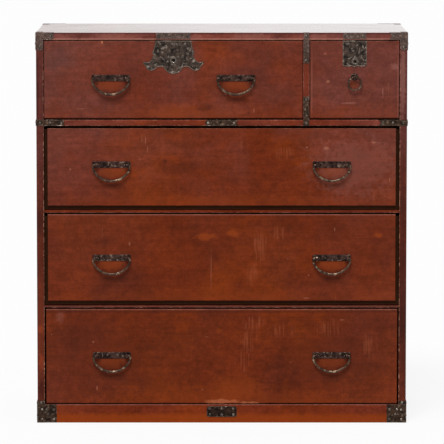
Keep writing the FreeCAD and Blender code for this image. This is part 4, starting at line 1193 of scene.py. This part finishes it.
# Sub-assemblies.
@dataclass
class Carcass:
    """The wooden case: boards, back planks and the pegs that hold them."""

    peg_radius: float = 0.0036
    peg_rise: float = 0.0004
    peg_inset: float = 0.009
    side_pegs: tuple[float, ...] = (0.12, 0.37, 0.62, 0.87)
    back_pegs: tuple[float, ...] = (0.14, 0.86)
    back_peg_radius: float = 0.00288
    planks: int = 5
    tongue_width: float = 0.00054
    tongue_depth: float = 0.004
    tongue_inset: float = 0.0005
    stain_depth: float = 0.06
    # Node, lacquer, grain, rubbed arrises and the way that the face in a gap looks, which gets painted
    # shade near the front.
    boards: tuple[tuple, ...] = (
        ("upper_rail", CASE_LACQUER, Grain.ALONG_X, Worn.LEVEL, (0, 0, 1)),
        ("middle_rail", CASE_LACQUER, Grain.ALONG_X, Worn.LOWER, (0, 0, 1)),
        ("lower_rail", CASE_LACQUER, Grain.ALONG_X, Worn.LOWER, (0, 0, 1)),
        ("plinth_rail", CASE_LACQUER, Grain.ALONG_X, Worn.UPPER, (0, 0, 1)),
        ("divider", CASE_LACQUER, Grain.ALONG_Z, Worn.UPRIGHT, (0, 0, 1)),
        ("top_board", TOP_LACQUER, Grain.ALONG_X, Worn.LOWER, None),
        ("left_side", SIDE_LACQUER, Grain.ALONG_Z, Worn.RIGHT, (1, 0, 0)),
        ("right_side", SIDE_LACQUER, Grain.ALONG_Z, Worn.LEFT, (-1, 0, 0)),
    )

    def dress(self) -> None:
        """Gives each board its finish."""
        for node, lacquer, grain, worn, shaded_way in self.boards:
            patches = marks(BOARD_MARKS.get(node, ()))
            dress(node, lacquer.material(node, grain, worn, patches, shaded_way))
        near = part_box("plinth_rail")[0][1]
        for node in SHELVES:
            dress(node, CEDAR.material(node, Grain.ALONG_X, near + self.stain_depth))
        dress("back_boards", BACK_CEDAR.material("back_boards", Grain.ALONG_Z))

    def build_side_pegs(self) -> None:
        """Bamboo pegs through each side board into the ends of the shelves and the bottom board."""
        sculpt = Sculpt()
        for face, sign in ((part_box("left_side")[0][0], -1), (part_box("right_side")[1][0], 1)):
            for shelf in SHELVES:
                low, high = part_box(shelf)
                for share in self.side_pegs:
                    centre = (face, low[1] + share * (high[1] - low[1]), middle(shelf)[2])
                    sculpt.dome(centre, (sign, 0, 0), self.peg_radius, self.peg_rise)
        sculpt.piece("side_pegs", "case", Slot.CASE, BAMBOO.material())

    def build_back_pegs(self) -> None:
        """Pegs of the back planks along the top, the shelves and the bottom."""
        sculpt = Sculpt()
        low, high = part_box("back_boards")
        pitch = (high[0] - low[0]) / self.planks
        levels = [high[2] - self.peg_inset, *(middle(shelf)[2] for shelf in SHELVES)]
        for plank in range(self.planks):
            for share in self.back_pegs:
                for z in levels:
                    centre = (low[0] + (plank + share) * pitch, high[1], z)
                    sculpt.dome(centre, (0, 1, 0), self.back_peg_radius, self.peg_rise)
        sculpt.piece("back_pegs", "case", Slot.PLAIN, BAMBOO.material())

    def build_tongues(self) -> None:
        """Loose tongues that close the gaps between the back planks."""
        sculpt = Sculpt()
        low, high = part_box("back_boards")
        wide, deep = self.tongue_width / 2, self.tongue_depth / 2
        y = middle("back_boards")[1]
        levels = np.linspace(low[2] + self.tongue_inset, high[2] - self.tongue_inset, 4)
        for plank in range(1, self.planks):
            x = -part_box("right_side")[1][0] * (1 - 2 * plank / self.planks)
            ring = [(x + a * wide, y + b * deep) for a, b in ((-1, -1), (1, -1), (1, 1), (-1, 1))]
            sculpt.skin([np.array([(a, b, z) for a, b in ring]) for z in levels], capped=True)
        sculpt.piece("back_tongues", "case", Slot.PLAIN, BAMBOO.material())

    def build(self) -> None:
        """Builds the pegs and tongues."""
        self.build_side_pegs()
        self.build_back_pegs()
        self.build_tongues()


@dataclass
class CaseIrons:
    """The case's iron plates with their borders."""

    rim: Rim = field(default_factory=Rim)
    wrapped: tuple[str, ...] = (*CORNERS, "rail_end_straps")
    flat: tuple[str, ...] = (
        "rail_centre_plate",
        "plinth_centre_plate",
        "divider_straps",
        "large_strike_plate",
        "small_strike_plate",
    )

    def dress(self) -> None:
        """Gives the plates and nails their finish."""
        for node in (*self.wrapped, *self.flat, "rear_corner_irons"):
            dress(node, PLATE_IRON.material())
        dress("plinth_centre_plate", PLINTH_IRON.material())
        dress("case_nails", NAIL_IRON.material())

    def build(self) -> None:
        """Builds the borders on the front, the sides and the back."""
        sculpt = Sculpt()
        low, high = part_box("rail_end_straps")
        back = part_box("rear_corner_irons")[1][1]
        for node in (*self.wrapped, *self.flat):
            self.rim.add(sculpt, node, FRONTWARD, -low[1])
        for node in (*self.wrapped, "rear_corner_irons"):
            self.rim.add(sculpt, node, (1, 0, 0), high[0])
            self.rim.add(sculpt, node, (-1, 0, 0), -low[0])
        self.rim.add(sculpt, "rear_corner_irons", (0, 1, 0), back)
        sculpt.piece("case_iron_rims", "case", Slot.PLATE, RIM_IRON.material())


@dataclass
class DrawerBox:
    """One drawer: its front, the pegged box behind it and the bottom."""

    name: str
    bails: bool = True
    bright_top: float = 0.0
    warm_band: float = 0.036
    warmth: float = 0.2
    shade: float = 0.0
    soiled: float = 0.85
    stain_depth: float = 0.03
    peg_radius: float = 0.0022
    peg_rise: float = 0.00025
    peg_shares: tuple[float, ...] = (0.14, 0.38, 0.62, 0.86)
    near_peg: float = 0.009
    rear_peg: float = 0.004
    upper_peg: float = 0.02

    def handled(self) -> tuple[Mark, ...]:
        """The marks: a band of painted warm light below, a line of painted shade at the bottom edge,
        painted shade over the whole front, a painted highlight along the top arris, and rubbed places at
        the bails with a darker patch under each.

        Returns:
            The marks.
        """
        low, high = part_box(f"{self.name}_front")
        x, half, far = middle(f"{self.name}_front")[0], (high[0] - low[0]) / 2, WIDE / 1000
        # A band of painted warm light along the bottom, a line of painted shade at the bottom edge, and
        # painted shade over the whole front.
        found = [
            Mark(x, low[2] + 0.004, half * 1.1, self.warm_band, GLOW, self.warmth, 0.9),
            Mark(x, low[2], far, 0.0036, PAINTED_SHADE, self.soiled, 0.3),
            Mark(x, low[2], far, far, STAIN_AND_SHADE, self.shade, 0.0),
        ]
        # A painted highlight along the top arris.
        if self.bright_top:
            found.append(Mark(x, high[2] - 0.0006, far, 0.0028, HAZE_AND_HIGHLIGHT, self.bright_top, 0.4))
        for side in SIDES if self.bails else ():
            low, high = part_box(f"{self.name}_{side}_bail")
            x = middle(f"{self.name}_{side}_bail")[0]
            found.append(Mark(x, high[2] - 0.019, 0.044, 0.02, GLOW, 0.42, 0.6))
            found.append(Mark(x, low[2] - 0.012, 0.05, 0.012, STAIN_AND_SHADE, 0.3, 0.4))
        return tuple(found)

    def dress(self) -> None:
        """Gives the boards their finish."""
        front, box, bottom = (f"{self.name}_{part}" for part in ("front", "box", "bottom"))
        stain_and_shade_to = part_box(front)[0][1] + self.stain_depth
        patches = self.handled() + marks(FRONT_MARKS[self.name])
        dress(front, FRONT_LACQUER.material(front, Grain.ALONG_X, Worn.UPPER, patches))
        dress(box, PAULOWNIA.material(box, Grain.FLAT, stain_and_shade_to))
        dress(bottom, PAULOWNIA.material(bottom, Grain.ALONG_X, stain_and_shade_to))

    def build(self) -> None:
        """Bamboo pegs at the box's corners, through the sides into the front and the back."""
        sculpt = Sculpt()
        low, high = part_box(f"{self.name}_box")
        for sign, face in ((-1, low[0]), (1, high[0])):
            for share in self.peg_shares:
                z = low[2] + share * (high[2] - low[2] - self.upper_peg)
                for y in (low[1] + self.near_peg, high[1] - self.rear_peg):
                    sculpt.dome((face, y, z), (sign, 0, 0), self.peg_radius, self.peg_rise)
        sculpt.piece(f"{self.name}_pegs", self.name, Slot.DRAWER, BAMBOO.material())


@dataclass
class BailPull:
    """The bails of one drawer, with collars under the posts."""

    drawer: str
    plate_thickness: float = 0.002
    bail_radius: float = 0.0024
    post_spacing: float = 0.073
    collar_radius: float = 0.0056
    collar_wire: float = 0.0009

    def dress(self) -> None:
        """Gives the bails, plates and posts their finish."""
        dress(f"{self.drawer}_handle_mounts", HANDLE_IRON.material())
        for side in SIDES:
            dress(f"{self.drawer}_{side}_bail", BAIL_IRON.material())

    def build(self) -> None:
        """Builds the collars round the posts."""
        sculpt = Sculpt()
        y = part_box(f"{self.drawer}_front")[0][1] - self.plate_thickness - self.collar_wire * 0.4
        for side in SIDES:
            bail = f"{self.drawer}_{side}_bail"
            for end in (-0.5, 0.5):
                x, z = middle(bail)[0] + end * self.post_spacing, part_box(bail)[1][2] - self.bail_radius
                sculpt.hoop((x, y, z), self.collar_radius, self.collar_wire, 20)
        sculpt.piece(f"{self.drawer}_post_collars", self.drawer, Slot.HANDLE, HANDLE_IRON.material())


@dataclass
class RingPull:
    """The small drawer's hand-forged ring and its rosette."""

    plain_wire: float = 0.0025
    wire: float = 0.0024
    corners: int = 6
    corner_share: float = 0.05
    round_angle: float = 0.32
    blend_angle: float = 0.4
    steps: int = 72

    def dress(self) -> None:
        """Gives the mount its finish."""
        dress("small_drawer_ring_mount", HANDLE_IRON.material())

    def build(self) -> None:
        """Builds the ring, a little six-sided from the hammer, in place of the plain one."""
        low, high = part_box("small_drawer_ring")
        from_top = turns_of(self.steps) - math.pi / 2
        wave = np.cos(self.corners * from_top)
        hammered = np.clip((abs(from_top) - self.round_angle) / self.blend_angle, 0, 1)
        reach = ((high[0] - low[0]) / 2 - self.plain_wire) * (1 - self.corner_share * hammered * (1 - wave))
        sculpt = Sculpt()
        sculpt.hoop(middle("small_drawer_ring"), reach, self.wire * (0.96 + 0.04 * wave), self.steps, 12)
        ring = sculpt.piece("forged_ring", "small_drawer_pull", Slot.HANDLE, BAIL_IRON.material())
        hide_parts("small_drawer_ring")


LARGE_SCROLLS: tuple[Ornament, ...] = (
    Curl(16, 15, 9.0, 2.0, 180, -1.4),
    Curl(34.5, 16, 8.0, 1.8, 0, 1.4),
    Curl(25, 34, 8.5, 1.8, 120, -1.5),
    Curl(41, 33, 5.5, 1.2, 190, -1.2),
    Curl(36, 53, 6.5, 1.5, 80, 1.3),
    Curl(61, 57, 5.0, 1.2, 160, -1.3),
    Curl(14, 60, 3.4, 1.0, 100, 1.1, 0.8),
    Leaf(0, 30, 22, 82, 2.6),
    Leaf(4, 32, 12, 50),
    Leaf(8, 38, 10, 20),
    Leaf(27, 22, 7, 70),
    Leaf(44, 24, 6, 80),
    Leaf(46, 52, 7, 10),
    Leaf(24, 50, 8, 200),
)
SMALL_SCROLLS: tuple[Ornament, ...] = (
    Curl(13, 14, 7.5, 1.6, 180, -1.4),
    Curl(16, 33, 7.5, 1.6, 90, 1.4),
    Leaf(0, 26, 18, 82, 2.4),
    Leaf(4, 28, 9, 45),
    Leaf(20, 21, 6, 60),
    Leaf(18, 46, 6, 250),
)


@dataclass
class Lock:
    """One lock: its chased plate with a border, the keyhole's rim and the works behind the front."""

    size: str
    drawer: str
    ornaments: tuple[Ornament, ...]
    keyhole_drop: float
    arcs: tuple[float, ...] = ()
    arc_width: float = 0.0011
    arc_span: tuple[float, float] = (217.0, 323.0)
    arc_steps: int = 21
    plate_thickness: float = 0.0014
    boss_height: float = 0.0022
    rim_radius: float = 0.006
    rim_wire: float = 0.0009
    border: Rim = field(default_factory=lambda: Rim(0.0021, 0.00045))

    def dress(self) -> None:
        """Gives the plate and the works their finish."""
        dress(f"{self.size}_lock_plate", LOCK_IRON.material())
        for part in ("case", "bolt"):
            dress(f"{self.size}_lock_{part}", WORKS_IRON.material())

    def build_arcs(self, relief: Sculpt, x: float, y: float, z: float) -> None:
        """Raised arcs under the keyhole.

        Args:
            relief: the piece that they go into.
            x: the keyhole's place across.
            y: the plate's face.
            z: the keyhole's height.
        """
        turns = np.linspace(*np.radians(self.arc_span), self.arc_steps)
        swell = self.arc_width * np.sin(np.linspace(0.3, math.pi - 0.3, self.arc_steps))
        for arc in self.arcs:
            relief.wire(upright(x + arc * np.cos(turns), y, z + arc * np.sin(turns)), swell, flat=0.6)

    def build(self) -> None:
        """Builds the plate's border and ornaments, and the keyhole's rim with the arcs under it."""
        plate = f"{self.size}_lock_plate"
        x, top = middle(plate)[0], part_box(plate)[1][2]
        y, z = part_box(f"{self.drawer}_front")[0][1] - self.plate_thickness, top - self.keyhole_drop
        border, relief, rim = Sculpt(), Sculpt(), Sculpt()
        self.border.add(border, plate, FRONTWARD, -y)
        for ornament in self.ornaments:
            ornament.add(relief, (x, y, top))
        self.build_arcs(relief, x, y, z)
        rim.hoop((x, y - self.boss_height, z), self.rim_radius, self.rim_wire, 32)
        for sculpt, name, iron in (
            (border, "lock_border", LOCK_RIM_IRON),
            (relief, "lock_scrolls", LOCK_IRON),
            (rim, "keyhole_rim", BRIGHT_IRON),
        ):
            sculpt.piece(f"{self.size}_{name}", self.drawer, Slot.LOCK, iron.material())


@dataclass
class Studio:
    """Pale floor, soft light and the camera."""

    camera_place: Triple = (0.0008, -9.70895, 1.4824)
    camera_pitch: float = 5.91
    lens: float = 314.78
    ambient: float = 0.38
    sun_strength: float = 2.2
    sun_height: float = 52.0
    sun_side: float = -12.0
    sun_angle: float = 22.0
    front_glow: float = 0.16
    floor_glow: float = 0.86
    floor_reach: float = 60.0
    floor_drop: float = 0.0004

    def build_floor(self) -> None:
        """Lays the floor."""
        mesh = bpy.data.meshes.new("studio_floor")
        ends = (-self.floor_reach, self.floor_reach)
        corners = [(x, y, -self.floor_drop) for y in ends for x in ends]
        mesh.from_pydata(corners, [], [(0, 1, 3, 2)])
        floor = add_object("studio_floor", mesh)
        material, graph, place = new_material("floor_paper")
        tone = graph.mix(place.noise(3.0, 3, 0.5), (0.94, 0.94, 0.94, 1), (0.955, 0.955, 0.955, 1))
        feeds = {"Base Color": tone, "Roughness": 0.95, "Specular IOR Level": 0.0}
        shader = graph.add("BsdfPrincipled", feeds).outputs[0]
        glow = graph.add("Emission", {"Color": (1, 1, 1, 1), "Strength": 1.0}).outputs[0]
        seen = graph.take("LightPath", "Is Camera Ray") * self.floor_glow
        blend = graph.add("MixShader", {0: seen, 1: shader, 2: glow}).outputs[0]
        graph.add("OutputMaterial", {"Surface": blend})
        assign(floor, material)

    def build_world(self) -> None:
        """Lights the room evenly, white to the eye and dimmer towards the side that the chest faces."""
        world = bpy.data.worlds.new("studio_air")
        bpy.context.scene.world = world
        world.use_nodes = True
        world.node_tree.nodes.clear()
        graph = Graph(world.node_tree)
        eye, gloss, glass = (
            graph.take("LightPath", f"Is {ray} Ray") for ray in ("Camera", "Glossy", "Transmission")
        )
        toward = graph.take("TexCoord", "Generated").split()[1]
        shine = toward.ramp(-0.95, 0.1, self.front_glow, 1.0)
        other = gloss * (shine - self.ambient) + self.ambient
        strength = eye.most(glass) * (1.0 - other) + other
        air = graph.add("Background", {"Color": (1, 1, 1, 1), "Strength": strength})
        graph.add("OutputWorld", {"Surface": air.outputs[0]})

    def build_sun(self) -> None:
        """Hangs a broad soft lamp above the front, a little to the left."""
        lamp = bpy.data.lights.new("soft_lamp", "SUN")
        lamp.energy = self.sun_strength
        lamp.angle = math.radians(self.sun_angle)
        holder = add_object("soft_lamp", lamp)
        holder.rotation_euler = (math.radians(90 - self.sun_height), 0, math.radians(self.sun_side))

    def build_camera(self) -> None:
        """Sets up the camera at the photograph's angle."""
        lens = bpy.data.cameras.new("camera")
        lens.lens = self.lens
        lens.sensor_width = 36.0
        lens.clip_start = 0.1
        lens.clip_end = 300.0
        camera = add_object("camera", lens)
        camera.location = self.camera_place
        camera.rotation_euler = (math.radians(90 - self.camera_pitch), 0, 0)
        bpy.context.scene.camera = camera

    def dress(self) -> None:
        """Sets how colours are shown."""
        bpy.context.scene.view_settings.view_transform = "Standard"

    def build(self) -> None:
        """Builds the studio."""
        self.build_floor()
        self.build_world()
        self.build_sun()
        self.build_camera()


def main() -> None:
    """Builds the chest's looks in order."""
    logging.basicConfig(level=logging.INFO, format="%(name)s %(message)s")
    wide = ("top_drawer", "upper_drawer", "lower_drawer", "bottom_drawer")
    parts = (
        Studio(),
        Carcass(),
        CaseIrons(),
        DrawerBox("top_drawer", soiled=0.3),
        DrawerBox("small_drawer", bails=False, soiled=0.3),
        DrawerBox("upper_drawer"),
        DrawerBox("lower_drawer", bright_top=0.36, shade=0.09),
        DrawerBox("bottom_drawer", bright_top=0.34, warm_band=0.05, warmth=0.3, shade=0.1),
        *(BailPull(name) for name in wide),
        RingPull(),
        Lock("large", "top_drawer", LARGE_SCROLLS, 0.0474, (0.0125, 0.0165, 0.0205)),
        Lock("small", "small_drawer", SMALL_SCROLLS, 0.0504),
    )
    for part in parts:
        part.dress()
        part.build()
        LOG.info("%s ready", type(part).__name__)


if __name__ == "__main__":
    main()
